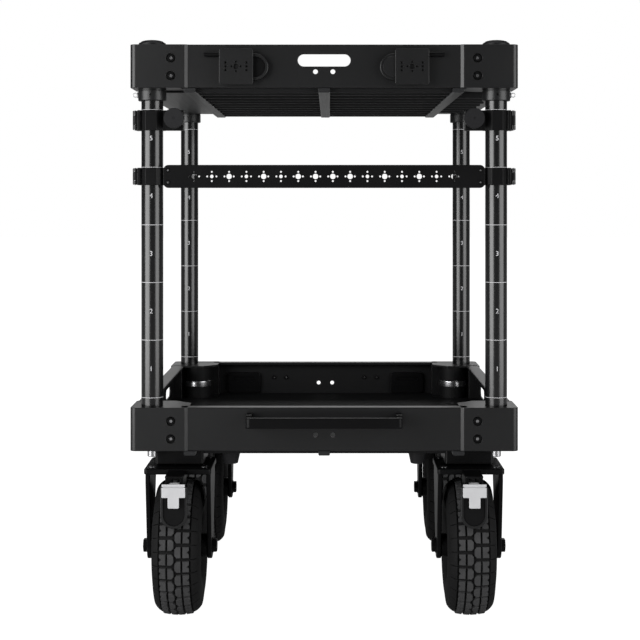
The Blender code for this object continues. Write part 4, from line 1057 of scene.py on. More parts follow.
def rail_pieces(level):
    """Three flat rails from wall to wall below a floor."""
    top = LEVELS[level] - FIT
    bottom = LEVELS[level] - 0.0080
    for label, x in (("left", -SIDE_RAIL), ("middle", 0.0), ("right", SIDE_RAIL)):
        section = rounded([(x - RAIL_HALF, top), (x - RAIL_HALF, bottom), (x + RAIL_HALF, bottom),
                           (x + RAIL_HALF, top)], [0.0008, 0.0022, 0.0022, 0.0008], 5)
        rows = prism(section, MIDDLE_Y - PANEL_FACE, MIDDLE_Y + PANEL_FACE, 0.0006, 2)
        rail = Shape().add(rows[..., (0, 2, 1)])
        finish_piece(f"{level}_{label}_rail", rail, ["rail"], "chassis")


def feet_piece():
    """Four short tapered bumpers below the lower tray."""
    top, bottom = 0.002, -0.0310
    profile = [(0.0105, bottom), (0.0124, bottom + 0.0006), (0.0130, bottom + 0.0020), (0.0182, top - 0.008),
               (0.0185, top - 0.006), (0.0185, top)]
    feet = Shape()
    for side, end in CORNERS.values():
        feet.add(turned(profile, at=(side * 0.165, end * (HALF_LENGTH - 0.065) + MIDDLE_Y, LOWER_Z)))
    finish_piece("bumper_feet", feet, ["plastic"], "chassis")


def side_plate():
    """The smooth plate below the upper floor, between its left rail and the wall."""
    reach = POST_Y - COLLAR_RADIUS - 0.016
    wall = PANEL_FLANGE - SIDE_FACE
    outline = rectangle((wall, MIDDLE_Y - reach), (-SIDE_RAIL, MIDDLE_Y + reach), 0.003, 3)
    plate = Shape().add(prism(outline, UPPER_Z - 0.0036, UPPER_Z - 0.0006, 0.0006, 2))
    # The rail finish is lighter, as painted light from the floor on this underside.
    finish_piece("upper_floor_side_plate", plate, ["rail"], "chassis")


class CART_OT_floors(bpy.types.Operator):
    """Make the two sheet floors, their rails, the bumpers and the side plate."""
    bl_idname = "cart.floors"
    bl_label = "Tray floors"

    def execute(self, context):
        deck_piece("lower")
        rail_pieces("lower")
        feet_piece()
        deck_piece("upper")
        rail_pieces("upper")
        side_plate()
        return {"FINISHED"}


# Posts

def post_piece(place):
    """A tube post."""
    foot = LOWER_Z + 0.0043
    edge = 0.001
    profile = [(POST_RADIUS - edge, foot), (POST_RADIUS, foot + edge), (POST_RADIUS, CAP_Z + 0.001)]
    tube = Shape().add(turned(profile, at=post_place(*CORNERS[place]), sides=TUBE_SIDES))
    finish_piece(f"tube_{place}", tube, ["tube"], "chassis", [f"post_{place}"])


def cap_piece(place):
    """A domed cap: a turned rim, and a dome of radius dome * cos t at height rise * sin t above its foot."""
    top = corner_box(f"post_{place}")[1][2]
    radius, dome, rise = 0.0235, 0.0202, 0.0042
    edge = 0.0006
    sweep = np.linspace(0, math.pi / 2, 9)[:-1]
    crown = np.stack([dome * np.cos(sweep), top - rise + rise * np.sin(sweep)], axis=1)
    rim = [(POST_RADIUS, CAP_Z), (radius - edge, CAP_Z), (radius, CAP_Z + edge), (radius, top - 0.0062),
           (radius - 0.0008, top - 0.0051), (radius - 0.0022, top - 0.0046)]
    profile = np.vstack([rim, crown, [(0.0006, top)]])
    cap = Shape().add(turned(profile, at=post_place(*CORNERS[place]), sides=TUBE_SIDES))
    finish_piece(f"post_cap_{place}", cap, ["plastic"], "chassis")


def bolt_piece(place):
    """The washer and the socket screw that hold a post from below its corner casting."""
    x, y, _ = post_place(*CORNERS[place])
    top = LOWER_Z - FIT
    thick, radius = 0.0016, 0.0110
    bolt = Shape().add(turned([(radius - 0.0005, -thick), (radius, -0.0010), (radius, 0)], at=(x, y, top),
                              sides=SMALL_SIDES))
    bolt.add(lay(socket_screw(*POST_SCREW) * (1, 1, -1), at=(x, y, top - thick)))
    finish_piece(f"post_bolt_{place}", bolt, ["bright"], "chassis")


def number_outline(text, height):
    """Flat points and faces of a short text, middle at 0, by Blender's own type."""
    curve = bpy.data.curves.new("number", "FONT")
    curve.body = text
    curve.size = height / 0.7
    curve.align_x = "CENTER"
    curve.align_y = "CENTER"
    curve.fill_mode = "FRONT"
    item = bpy.data.objects.new("number", curve)
    bpy.context.collection.objects.link(item)
    graph = bpy.context.evaluated_depsgraph_get()
    mesh = bpy.data.meshes.new_from_object(item.evaluated_get(graph))
    bpy.data.objects.remove(item, do_unlink=True)
    bpy.data.curves.remove(curve)
    points = np.empty(len(mesh.vertices) * 3)
    mesh.vertices.foreach_get("co", points)
    faces = [tuple(face.vertices) for face in mesh.polygons]
    bpy.data.meshes.remove(mesh)
    return points.reshape(-1, 3)[:, :2], faces


def marks_piece(place):
    """Ring marks every pitch, and numbers between them, wrapped on the front of the tube.

    A flat point (x, y) goes to the angle x / radius on the tube: radius * sin, -radius * cos, y.
    """
    detail = bpy.context.scene.cart_detail
    at = np.array(post_place(*CORNERS[place]))
    first = LOWER_Z + TRAY_HEIGHT + 0.015
    root, half = POST_RADIUS - 0.0005, 0.0004
    radius = POST_RADIUS + 0.00006
    marks = Shape()
    for index in range(MARK_COUNT):
        z = first + index * detail.mark_pitch
        ring = [(root, z - half), (radius, z - half), (radius, z + half), (root, z + half)]
        marks.add(turned(ring, at=at, sides=TUBE_SIDES), loop=True)
    radius += 0.00004
    for index in range(MARK_COUNT - 1):
        points, faces = number_outline(str(index + 1), detail.number_height)
        z = first + (index + 0.5) * detail.mark_pitch
        angle = points[:, 0] / radius
        wrapped = np.stack([radius * np.sin(angle), -radius * np.cos(angle), points[:, 1] + z], axis=1)
        marks.add_faces(wrapped + at, faces)
    finish_piece(f"post_marks_{place}", marks, ["print"], "chassis")


class CART_OT_posts(bpy.types.Operator):
    """Make the four tube posts with their caps, bolts and marks."""
    bl_idname = "cart.posts"
    bl_label = "Posts"

    def execute(self, context):
        for place in CORNERS:
            post_piece(place)
            cap_piece(place)
            bolt_piece(place)
            marks_piece(place)
        return {"FINISHED"}


def pull_pin_piece(place, side):
    """A spring pin with its flange and its wire ring."""
    node = f"pull_pin_{place}"
    low, high = corner_box(node)
    _, y, z = (low + high) / 2
    flange = side * (POST_X + COLLAR_RADIUS + FIT)
    start = ((low[0] if side > 0 else high[0]) - flange) * side
    shank, head, stem = 0.0030, 0.0050, 0.0026
    profile = [(shank - 0.0004, start), (shank, start + 0.0008), (shank, 0), (head - 0.0004, 0),
               (head, 0.0004), (head, 0.0014), (head - 0.0006, 0.0020), (stem, 0.0020),
               (stem - 0.0004, 0.0026)]
    pin = Shape().add(turned(profile, "YZ", (flange, y, z), SMALL_SIDES, side))
    pin.add(lay(torus(0.0035, 0.0008), "XZ", (flange + side * 0.0051, y, z)), loop=True)
    finish_piece(f"spring_pin_{place}", pin, ["pale"], node, [node])


class CART_OT_pull_pins(bpy.types.Operator):
    """Make the four spring pins of the collars, each with its flange and wire ring."""
    bl_idname = "cart.pull_pins"
    bl_label = "Pull pins"

    def execute(self, context):
        for place, (side, _) in CORNERS.items():
            pull_pin_piece(place, side)
        return {"FINISHED"}


# Pieces on the trays

class CART_OT_grab_handle(bpy.types.Operator):
    """Make the U-shaped grab handle with its ears."""
    bl_idname = "cart.grab_handle"
    bl_label = "Grab handle"

    def execute(self, context):
        low, high = corner_box("grab_handle")
        back, front = high[1], low[1]
        half = high[0]
        inner = front + 0.014
        ear = 0.010
        root = back + 0.0028
        plan = rounded([(-half, root), (-half, front), (half, front), (half, root), (half - ear, root),
                        (half - ear, inner), (ear - half, inner), (ear - half, root)],
                       [0.003, 0.008, 0.008, 0.003, 0.003, 0.004, 0.004, 0.003], 6)
        middle = (low[2] + high[2]) / 2
        bar = Shape().add(prism(plan, middle - 0.009, middle + 0.009, 0.0028, 5))
        section = rectangle((inner + 0.004, low[2]), (back, high[2]), [0.005, 0.001, 0.001, 0.005])
        for side in (-1, 1):
            bar.add(slab(section, *sorted((side * (half - ear), side * half)), 0.0008, 2, "YZ"))
        finish_piece("grab_bar", bar, ["steel"], "chassis", ["grab_handle"])
        return {"FINISHED"}


def boss_outline(side, z, radius, outer):
    """Front outline of a boss: a half round on the inner side, square on the outer side."""
    inner = side * (PLATE_X - 0.032 - radius)
    points = [(outer, z - radius), (outer, z + radius), (inner, z + radius), (inner, z - radius)]
    return rounded(points, [0.0015, 0.0015, radius * 0.998, radius * 0.998], 12)


def drilled_plate(place, side, front, back, z):
    """The front plate, with a cross of holes in its middle and a column of three on each side."""
    outline = rectangle((side * PLATE_X - PLATE_HALF[0], z - PLATE_HALF[1]),
                        (side * PLATE_X + PLATE_HALF[0], z + PLATE_HALF[1]), 0.003)
    plate = Shape().add(slab(outline, front, back, 0.0008, 3, "XZ"))
    holes = hole_cross(0, 0, HOLE_BIG)
    holes += [(dx, dz, 0.002) for dx in (-0.018, 0.018) for dz in (-0.0065, 0, 0.0065)]
    flare = 0.0004
    cutter = Shape()
    for dx, dz, radius in holes:
        profile = [(radius + flare, -0.004), (radius + flare, 0), (radius, flare), (radius, 0.005)]
        cutter.add(turned(profile, "XZ", (side * PLATE_X + dx, front, z + dz), HOLE_SIDES))
    finish_piece(f"drilled_plate_{place}", plate, ["anodised"], "chassis",
                 [f"accessory_plate_{place}"], cutter)


def accessory_piece(place, side):
    """A drilled plate on a round-ended boss, with the latch block and its pin."""
    low, high = corner_box(f"accessory_plate_{place}")
    back = high[1]
    face = low[1] + 0.007
    z = UPPER_TOP - 0.0395
    drilled_plate(place, side, low[1], face, z)
    outer = side * (PLATE_X + PLATE_HALF[0] - 0.005)
    boss = Shape().add(slab(boss_outline(side, z, 0.023, outer), face - 0.0002, back, 0.0014, 4, "XZ"))
    latch_z = z + 0.022
    latch_y = (face + back) / 2
    left, right = sorted((outer, outer - side * 0.010))
    block = rectangle((left, z), (right, latch_z + 0.005), 0.0012, 3)
    boss.add(slab(block, face + 0.0004, back, 0.0006, 2, "XZ"))
    inner_end = side * (PLATE_X - PLATE_HALF[0] + 0.0037)
    well = boss_outline(side, z, 0.018, inner_end)
    depth = 0.004
    cutter = Shape().add(slab(well, face - depth, face + depth, 0.0004, 1, "XZ"))
    finish_piece(f"plate_boss_{place}", boss, ["anodised"], "chassis", cutter=cutter)
    # A thin floor of the deep black finish in the well is painted shade of the recess.
    floor = inset(counterclockwise(well), 0.0004)
    floor = Shape().add(slab(floor, face + depth - 0.0004, face + depth + 0.0004, 0.0002, 1, "XZ"))
    finish_piece(f"boss_well_{place}", floor, ["deep"], "chassis")
    latch_pin(place, side, abs(outer), max(abs(low[0]), abs(high[0])), latch_y, latch_z)


def latch_pin(place, side, start, reach, y, z):
    """The latch's pin on the outer side of a boss, with a flange at its root."""
    radius, flange, thick = 0.0045, 0.0055, 0.0045
    shaft = [(radius, start - 0.004), (radius, reach - 0.0008), (radius - 0.0008, reach)]
    pin = Shape().add(turned(shaft, "YZ", (0, y, z), PIN_SIDES, side))
    disc = [(flange - 0.0006, 0), (flange, 0.0005), (flange, thick - 0.0005), (flange - 0.0006, thick)]
    pin.add(turned(disc, "YZ", (side * (start + 0.0002), y, z), PIN_SIDES, side))
    finish_piece(f"latch_pin_{place}", pin, ["steel"], "chassis")


class CART_OT_accessory_plates(bpy.types.Operator):
    """Make the two drilled accessory plates on their bosses."""
    bl_idname = "cart.accessory_plates"
    bl_label = "Accessory plates"

    def execute(self, context):
        for place, side in SIDES.items():
            accessory_piece(place, side)
        return {"FINISHED"}


# Cross-bar and clamps

def bar_screws(high, front, z):
    """Two screws at each end of the bar, which tie it to its clamps."""
    screws = Shape()
    for side in (-1, 1):
        for rise in (-0.0105, 0.0105):
            add_screw(screws, (side * (high[0] - 0.008), front + 0.0004, z + rise), -1, BAR_SCREW)
    # The bright second finish is the painted highlight in the screws' hexagons.
    finish_piece("bar_screws", screws, ["steel", "bright"], "cross_bar_slider")


class CART_OT_cross_bar(bpy.types.Operator):
    """Make the drilled flat bar between the front posts, with its end screws."""
    bl_idname = "cart.cross_bar"
    bl_label = "Cross-bar"

    def execute(self, context):
        low, high = corner_box("cross_bar")
        front, z = low[1], (low[2] + high[2]) / 2
        outline = rectangle((low[0], low[2]), (high[0], high[2]), 0.009, 8)
        bar = Shape().add(slab(outline, front, high[1], 0.0008, 3, "XZ"))
        cutter = Shape()
        flare, thick = 0.0005, 0.006
        for index in range(BAR_HOLES):
            x = (index - (BAR_HOLES - 1) / 2) * BAR_HOLE_SPACING
            from_end = min(index, BAR_HOLES - 1 - index)
            big = from_end % 2 == 0 or from_end == BAR_HOLES // 2 - 1
            for hole_x, hole_z, radius in hole_cross(x, z, HOLE_BIG if big else HOLE_MEDIUM):
                profile = [(radius + flare, -0.003), (radius + flare, 0), (radius, flare),
                           (radius, thick - flare), (radius + flare, thick), (radius + flare, thick + 0.003)]
                cutter.add(turned(profile, "XZ", (hole_x, front, hole_z), HOLE_SIDES))
        finish_piece("drilled_bar", bar, ["deep"], "cross_bar_slider", ["cross_bar"],
                     cutter)
        bar_screws(high, front, z)
        return {"FINISHED"}


def clamp_outline(side, lug_reach):
    """Plan of a split clamp about its post: an octagon with an inward lug, a flat outer ear, bore and slit.

    The bore is an arc from one lip of the slit to the other, so that one closed outline holds it.
    """
    flat = 0.023
    corner = flat * math.tan(math.pi / 8)
    slant = flat + corner
    ear_in, ear_half = POST_RADIUS, 0.018
    lug_front, lug_back = -0.0127, 0.0043
    lip = 0.001
    back = [(EAR_REACH, lip), (EAR_REACH, ear_half), (ear_in, ear_half), (ear_in, slant - ear_in),
            (corner, flat), (-corner, flat), (-flat, corner), (-flat, lug_back), (-lug_reach, lug_back)]
    front = [(-lug_reach, lug_front), (-(slant + lug_front), lug_front), (-corner, -flat), (corner, -flat),
             (ear_in, ear_in - slant), (ear_in, -ear_half), (EAR_REACH, -ear_half), (EAR_REACH, -lip)]
    ear_radii = [0.0010, 0.0014, 0.0010, 0.0005, 0.0012]
    lug_radii = [0.0012, 0.0010, 0.0010, 0.0020, 0.0020, 0.0005]
    outer = rounded(back + front, ear_radii + lug_radii + [0.0012] + ear_radii[::-1], 3, False)
    lip_angle = math.asin(lip / BORE)
    angles = np.linspace(-lip_angle, lip_angle - math.tau, 73)
    bore = BORE * np.stack([np.cos(angles), np.sin(angles)], axis=1)
    return np.vstack([outer, bore]) * (side, 1)


def clamp_piece(node, side, body, height, lug_reach):
    """A split octagonal clamp with its tongue for the lever."""
    low, high = corner_box(node)
    middle = (low[2] + high[2]) / 2
    x, y, _ = post_place(side, -1)
    half, quarter = height / 2, height / 4
    plan = clamp_outline(side, lug_reach) + (x, y)
    ring = Shape().add(prism(plan, middle - half, middle + half, 0.0008, 3))
    pivot = (side * (POST_X + PIVOT_OUT), y - PIVOT_AHEAD)
    left, right = sorted((side * (POST_X + 0.0239), pivot[0]))
    radius, edge = LEVER_HALF, 0.0003
    tongue = rectangle((left, pivot[1] - radius), (right, pivot[1] + radius), 0.0004, 2)
    ring.add(prism(tongue, middle - quarter, middle + quarter, edge, 1))
    ring.add(turned([(radius - edge, -quarter), (radius, edge - quarter), (radius, quarter - edge),
                     (radius - edge, quarter)], at=(*pivot, middle), sides=PIN_SIDES))
    finish_piece(f"clamp_ring_{node}", ring, ["deep"], body, [node])


def lever_piece(node, side, height):
    """A cam lever: a slim tapering handle, forked over the clamp's tongue, with the ends of its pin."""
    low, high = corner_box(node)
    middle = (low[2] + high[2]) / 2
    pivot = (side * (POST_X + PIVOT_OUT), post_place(side, -1)[1] - PIVOT_AHEAD)
    length = high[1] - pivot[1]
    thick, tip = LEVER_HALF, 0.0015
    taper = length * 0.6
    outline = rounded([(-thick, -thick), (thick, -thick), (thick, taper), (tip, length), (-tip, length),
                       (-thick, taper)], [thick * 0.99, thick * 0.99, 0.012, 0.0012, 0.0012, 0.012], 6)
    half = height / 2 - 0.001
    handle = Shape().add(slab(outline, middle - half, middle + half, 0.0009, 3, at=(*pivot, 0)))
    slot = height / 4 + FIT
    reach = 0.01
    window = [(-reach, -reach), (reach, -reach), (reach, reach), (-reach, reach)]
    cutter = Shape().add(slab(window, middle - slot, middle + slot, 0.0002, 1, at=(*pivot, 0)))
    finish_piece(f"cam_{node}", handle, ["anodised"], node, [node], cutter)
    radius = 0.0024
    pin = Shape()
    head = [(radius, 0), (radius, 0.0004), (radius - 0.0006, 0.0008)]
    for end in (-1, 1):
        pin.add(turned(head, at=(*pivot, middle + end * half), sides=SMALL_SIDES, way=end))
    pin.add(turned([(radius, -slot - 0.001), (radius, slot + 0.001)], at=(*pivot, middle), sides=SMALL_SIDES))
    finish_piece(f"pin_{node}", pin, ["bright"], node)


def knob_piece(place):
    """A round knob with a fluted rim.

    Radius = profile radius - flute * share * (1 - |sin(flutes * angle / 2)|). The share is the third number
    of a profile point: 1 on the rim and 0 on the flat faces.
    """
    node = f"clamp_knob_{place}"
    low, high = corner_box(node)
    x, _, z = (low + high) / 2
    radius = (high[2] - low[2]) / 2
    thick, hub, flute = 0.017, 0.005, 0.0007
    angles = ring_angles(KNOB_FLUTES * 6)
    wave = 1 - np.abs(np.sin(angles * KNOB_FLUTES / 2))
    profile = np.array([(0.0172, 0.0, 0.0), (radius - 0.0012, 0.0004, 0.1), (radius - 0.0003, 0.0015, 0.8),
                        (radius, 0.0030, 1.0), (radius, thick - 0.0026, 1.0),
                        (radius - 0.0006, thick - 0.0010, 0.8), (radius - 0.0022, thick, 0.0),
                        (hub, thick, 0.0), (hub, thick + 0.0135, 0.0)])
    rows = profile[:, :1] - profile[:, 2:] * flute * wave[None]
    depth = np.broadcast_to(profile[:, 1:2], rows.shape)
    knob = Shape().add(lay(np.stack([rows * np.cos(angles), rows * np.sin(angles), depth], axis=2), "XZ",
                           (x, low[1], z)))
    dimple = Shape().add(turned([(0.0022, -0.002), (0.0022, 0.0), (0.0018, 0.0008)], "XZ", (x, low[1], z),
                                SMALL_SIDES))
    finish_piece(f"fluted_knob_{place}", knob, ["plastic"], node, [node], dimple)


class CART_OT_clamps(bpy.types.Operator):
    """Make the four post clamps with their levers, and the two knobs."""
    bl_idname = "cart.clamps"
    bl_label = "Post clamps"

    def execute(self, context):
        for place, side in SIDES.items():
            clamp_piece(f"bar_clamp_{place}", side, "cross_bar_slider", BAR_CLAMP_HEIGHT, 0.046)
            clamp_piece(f"upper_clamp_{place}", side, f"upper_clamp_{place}", UPPER_CLAMP_HEIGHT, 0.056)
            lever_piece(f"bar_lever_{place}", side, BAR_CLAMP_HEIGHT)
            lever_piece(f"upper_lever_{place}", side, UPPER_CLAMP_HEIGHT)
            knob_piece(place)
        return {"FINISHED"}


# Casters

def joint_place(name):
    """Where a joint's axis is."""
    return np.array(JOINTS[name]["pos_m"])


def adapter_piece(place):
    """The block between tray and swivel, with its groove for the rail."""
    low, high = corner_box(f"caster_adapter_{place}")
    block = Shape().add(prism(rectangle(low[:2], high[:2], 0.005), low[2], high[2], 0.0012, 3))
    rail = (low[0] + high[0]) / 2 - CORNERS[place][0] * RAIL_IN
    half, past = RAIL_HALF + FIT, 0.01
    groove = [(rail - half, low[1] - past), (rail + half, low[1] - past), (rail + half, high[1] + past),
              (rail - half, high[1] + past)]
    cutter = Shape().add(prism(groove, high[2] - 0.008, high[2] + past, 0.0002, 1))
    finish_piece(f"swivel_block_{place}", block, ["deep"], "chassis",
                 [f"caster_adapter_{place}"], cutter)


def fork_piece(place):
    """The crown and its two legs, which taper from the crown to a round end at the axle."""
    x, y, _ = joint_place(f"swivel_{place}")
    _, axle_y, axle_z = joint_place(f"wheel_{place}_turn")
    half, ahead, behind = 0.0585, 0.092, 0.048
    outline = rectangle((x - half, y - ahead), (x + half, y + behind), [0.006, 0.006, 0.02, 0.02], 6)
    fork = Shape().add(prism(outline, CROWN_LOW, CROWN_HIGH, 0.0022, 4))
    top, shoulder = CROWN_LOW + 0.002, CROWN_LOW - 0.016
    front, back = y - 0.080, y + 0.020
    foot = 0.022
    leg = rounded([(front, top), (front, shoulder), (axle_y - foot, axle_z), (axle_y - foot, axle_z - foot),
                   (axle_y + foot, axle_z - foot), (axle_y + foot, axle_z), (back, shoulder), (back, top)],
                  [0.002, 0.012, 0.025, 0.0165, 0.0165, 0.025, 0.012, 0.002], 6)
    for side in (-1, 1):
        inner, outer = sorted((x + side * LEG_IN, x + side * LEG_OUT))
        fork.add(slab(leg, inner, outer, 0.0016, 3, "YZ"))
    finish_piece(f"fork_{place}", fork, ["steel"], f"caster_{place}", [f"caster_fork_{place}"])


def hardware_piece(place):
    """The swivel race, and the axle with a washer and a nut at each end."""
    x, y, _ = joint_place(f"swivel_{place}")
    _, axle_y, axle_z = joint_place(f"wheel_{place}_turn")
    race, radius, thick = 0.036, 0.0135, 0.0018
    hardware = Shape()
    hardware.add(turned([(race, CROWN_HIGH - 0.0005), (race, CROWN_HIGH + 0.0012), (race - 0.0008, RACE_TOP),
                         (0.0062, RACE_TOP)], at=(x, y, 0), sides=TUBE_SIDES))
    washer = [(radius, 0), (radius, 0.0014), (radius - 0.0005, thick)]
    nut = hexagon(0.022, [thick, 0.0022, 0.0072, 0.0082], [0.0006, 0, 0, 0.0011])
    for side in (-1, 1):
        at = (x + side * LEG_OUT, axle_y, axle_z)
        hardware.add(turned(washer, "YZ", at, way=side))
        hardware.add(lay(nut * (1, 1, side), "YZ", at))
    reach = LEG_IN + 0.0005
    hardware.add(turned([(0.008, -reach), (0.008, reach)], "YZ", (x, axle_y, axle_z), PIN_SIDES))
    finish_piece(f"fork_hardware_{place}", hardware, ["steel"], f"caster_{place}")
    bolts = Shape()
    for side in (-1, 1):
        for along in (-0.070, 0.030):
            bolts.add(lay(socket_screw(*FORK_SCREW), at=(x + side * 0.046, y + along, CROWN_HIGH - 0.0035)))
    finish_piece(f"fork_bolts_{place}", bolts, ["bright"], f"caster_{place}")


def shield_outline(x, half, top, bottom, edge):
    """Front outline of a shield: square at the top, a half round at the bottom."""
    points = [(x - half, top), (x - half, bottom), (x + half, bottom), (x + half, top)]
    return rounded(points, [edge, half * 0.995, half * 0.995, edge], 12)


def brake_shield_piece(place):
    """The round-ended shield in front of the tyre, with a rim round a well whose dark floor is painted shade.
    """
    x = joint_place(f"swivel_{place}")[0]
    front = corner_box(f"caster_fork_{place}")[0][1]
    top, bottom = CROWN_LOW - 0.010, CROWN_LOW - 0.081
    half, rim, depth = 0.023, 0.0045, 0.003
    outline = shield_outline(x, half, top, bottom, 0.003)
    shield = Shape().add(slab(outline, front, front + SHIELD_THICK, 0.0018, 4, "XZ"))
    well = shield_outline(x, half - rim, top + 0.01, bottom + rim, 0.001)
    cutter = Shape().add(slab(well, front - 0.004, front + depth, 0.0008, 3, "XZ"))
    finish_piece(f"brake_shield_{place}", shield, ["anodised"], f"caster_{place}",
                 cutter=cutter)
    # A thin floor of the deep black finish in the well is painted shade of the recess.
    gap = 0.0004
    well = shield_outline(x, half - rim - gap, top - 0.001, bottom + rim + gap, 0.001)
    floor = Shape().add(slab(well, front + depth - gap, front + depth + 0.0006, 0.0002, 1, "XZ"))
    finish_piece(f"brake_well_{place}", floor, ["deep"], f"caster_{place}")


def brake_neck_piece(place):
    """The neck between crown and shield: two cheeks, a roof and the pedal's hinge pin."""
    x, y, _ = joint_place(f"swivel_{place}")
    pin = joint_place(f"brake_pedal_{place}_turn")
    front = corner_box(f"caster_fork_{place}")[0][1]
    start, end = front + SHIELD_THICK + 0.0005, y - 0.087
    half, cheek = 0.0155, 0.0065
    side_outline = rounded([(start, CROWN_LOW - 0.022), (end, CROWN_LOW - 0.022), (end, CROWN_LOW + 0.0075),
                            (start, CROWN_LOW + 0.0075)], [0.004, 0.0014, 0.0014, 0.004], 4)
    neck = Shape()
    for side in (-1, 1):
        inner, outer = sorted((x + side * (half - cheek), x + side * half))
        neck.add(slab(side_outline, inner, outer, 0.0010, 3, "YZ"))
    roof = rectangle((x - half, front + FIT), (x + half, end), [0.004, 0.004, 0.0015, 0.0015])
    neck.add(prism(roof, CROWN_LOW + 0.004, CROWN_LOW + 0.008, 0.0012, 3))
    neck.add(turned([(0.003, -0.0125), (0.003, 0.0125)], "YZ", (x, pin[1], pin[2]), SMALL_SIDES))
    finish_piece(f"brake_neck_{place}", neck, ["steel"], f"caster_{place}")


class CART_OT_casters(bpy.types.Operator):
    """Make the swivel blocks, the forks and the brake housings."""
    bl_idname = "cart.casters"
    bl_label = "Casters"

    def execute(self, context):
        for place in CORNERS:
            adapter_piece(place)
            fork_piece(place)
            hardware_piece(place)
            brake_shield_piece(place)
            brake_neck_piece(place)
        return {"FINISHED"}


def pedal_piece(place):
    """A T-shaped pad with a rolled upper edge, and its arm and barrel."""
    node = f"brake_pedal_{place}"
    low, high = corner_box(node)
    x, pin_y, pin_z = joint_place(f"{node}_turn")
    bottom, top = low[2], high[2]
    front = low[1]
    sheet_front, sheet_back = front + 0.0007, front + 0.0034
    wide, slim = 0.020, 0.0095
    bar_top, bar_bottom = top - 0.0058, top - 0.023
    points = [(x - wide, bar_bottom), (x - slim, bar_bottom), (x - slim, bottom), (x + slim, bottom),
              (x + slim, bar_bottom), (x + wide, bar_bottom), (x + wide, bar_top), (x - wide, bar_top)]
    outline = rounded(points, [0.0015, 0.0008, 0.0020, 0.0020, 0.0008, 0.0015, 0.0010, 0.0010])
    pad = Shape().add(slab(outline, sheet_front, sheet_back, 0.0007, 3, "XZ"))
    roll = rectangle((front, top - 0.0046), (front + 0.0020, top), [0.0009, 0.0006, 0.0006, 0.0011], 4)
    pad.add(slab(roll, x - 0.0196, x + 0.0196, 0.0004, 2, "YZ"))
    strip = rectangle((front + 0.0018, top - 0.0085), (sheet_back, top - 0.001), 0.0004, 2)
    pad.add(slab(strip, x - 0.018, x + 0.018, 0.0003, 1, "YZ"))
    arm = rectangle((x - 0.007, front + 0.002), (x + 0.007, pin_y), 0.0012, 3)
    pad.add(prism(arm, pin_z - 0.0045, pin_z + 0.0045, 0.0008, 2))
    radius, reach, edge = 0.0065, 0.0087, 0.0005
    barrel = [(radius - edge, -reach), (radius, edge - reach), (radius, reach - edge), (radius - edge, reach)]
    pad.add(turned(barrel, "YZ", (x, pin_y, pin_z), PIN_SIDES))
    finish_piece(f"pedal_{place}", pad, ["pale"], node, [node])


class CART_OT_pedals(bpy.types.Operator):
    """Make the T-shaped brake pedals with their arms and barrels."""
    bl_idname = "cart.pedals"
    bl_label = "Brake pedals"

    def execute(self, context):
        for place in CORNERS:
            pedal_piece(place)
        return {"FINISHED"}


def rim_piece(place):
    """A dished rim: flanges, a drop centre, a web with round windows, and a turned hub."""
    axle = joint_place(f"wheel_{place}_turn")
    hub = [(0.0085, 0.0480), (0.0095, 0.0487), (0.0190, 0.0487), (0.0200, 0.0480), (0.0205, 0.0120)]
    web = [(0.0230, 0.0070), (0.0280, 0.0055), (0.0400, 0.0055), (0.0445, 0.0080), (0.0460, 0.0130)]
    flange = [(0.0460, 0.0310), (0.0475, 0.0335), (0.0570, 0.0340), (0.0580, 0.0330), (0.0580, 0.0318),
              (0.0570, 0.0310), (0.0520, 0.0305)]
    half = np.array(hub + web + flange)
    rim = Shape().add(turned(np.vstack([half, half[::-1] * (1, -1)]), "YZ", axle, RIM_SIDES), loop=True)
    radius, flare, face, reach = 0.0052, 0.0006, 0.0055, 0.0335
    wide = radius + flare
    window = [(wide, -0.02), (wide, -face), (radius, flare - face), (radius, face - flare), (wide, face),
              (wide, 0.02)]
    cutter = Shape()
    for angle in ring_angles(RIM_WINDOWS):
        spot = axle + reach * np.array((0, math.cos(angle), math.sin(angle)))
        cutter.add(turned(window, "YZ", spot, SMALL_SIDES))
    finish_piece(f"rim_{place}", rim, ["steel"], f"wheel_{place}", [f"wheel_rim_{place}"],
                 cutter)


class CART_OT_rims(bpy.types.Operator):
    """Make the four wheel rims."""
    bl_idname = "cart.rims"
    bl_label = "Wheel rims"

    def execute(self, context):
        for place in CORNERS:
            rim_piece(place)
        return {"FINISHED"}


def tyre_section(depth):
    """Half section of the carcass below the tread, as distance from the middle plane and radius.

    From the middle plane on: a crown whose radius falls by drop * (across / flat) ** 2, then a shoulder with
    across = flat + reach * sin t and radius = widest + rise * cos t for t from 0 to a quarter turn, then a
    bead that comes back to the rim on an ellipse of its own.
    """
    flat, widest, reach, drop = 0.021, 0.078, 0.0215, 0.0022
    rise = TYRE_RADIUS - depth - drop - widest
    quarter = np.linspace(0, math.pi / 2, 15)
    across = np.linspace(0, flat, 7)[:-1]
    crown = np.stack([across, widest + rise + drop * (1 - (across / flat) ** 2)], axis=1)
    shoulder = np.stack([flat + reach * np.sin(quarter), widest + rise * np.cos(quarter)], axis=1)
    bead = np.stack([BEAD_HALF + 0.0120 * np.cos(quarter[1:]), widest - 0.0240 * np.sin(quarter[1:])], axis=1)
    return np.vstack([crown, shoulder, bead])


class TyreSurface:
    """Maps a flat point (along the tread, across it, height above the carcass) onto the tyre."""

    def __init__(self, depth):
        self.section = tyre_section(depth)
        step = np.linalg.norm(np.diff(self.section, axis=0), axis=1)
        self.length = np.concatenate([[0], np.cumsum(step)])
        tangent = np.gradient(self.section, axis=0)
        tangent /= np.linalg.norm(tangent, axis=1, keepdims=True)
        self.normal = np.stack([-tangent[:, 1], tangent[:, 0]], axis=1)

    def points(self, turn, across, height):
        """Place at the angle turn, an arc length across from the middle plane, and a height above it."""
        side = np.sign(across)
        arc = np.abs(across)
        reach = [np.interp(arc, self.length, column) for column in self.section.T]
        lift = [np.interp(arc, self.length, column) for column in self.normal.T]
        axial = side * (reach[0] + height * lift[0])
        radius = reach[1] + height * lift[1]
        return np.stack([axial, radius * np.cos(turn), radius * np.sin(turn)], axis=-1)


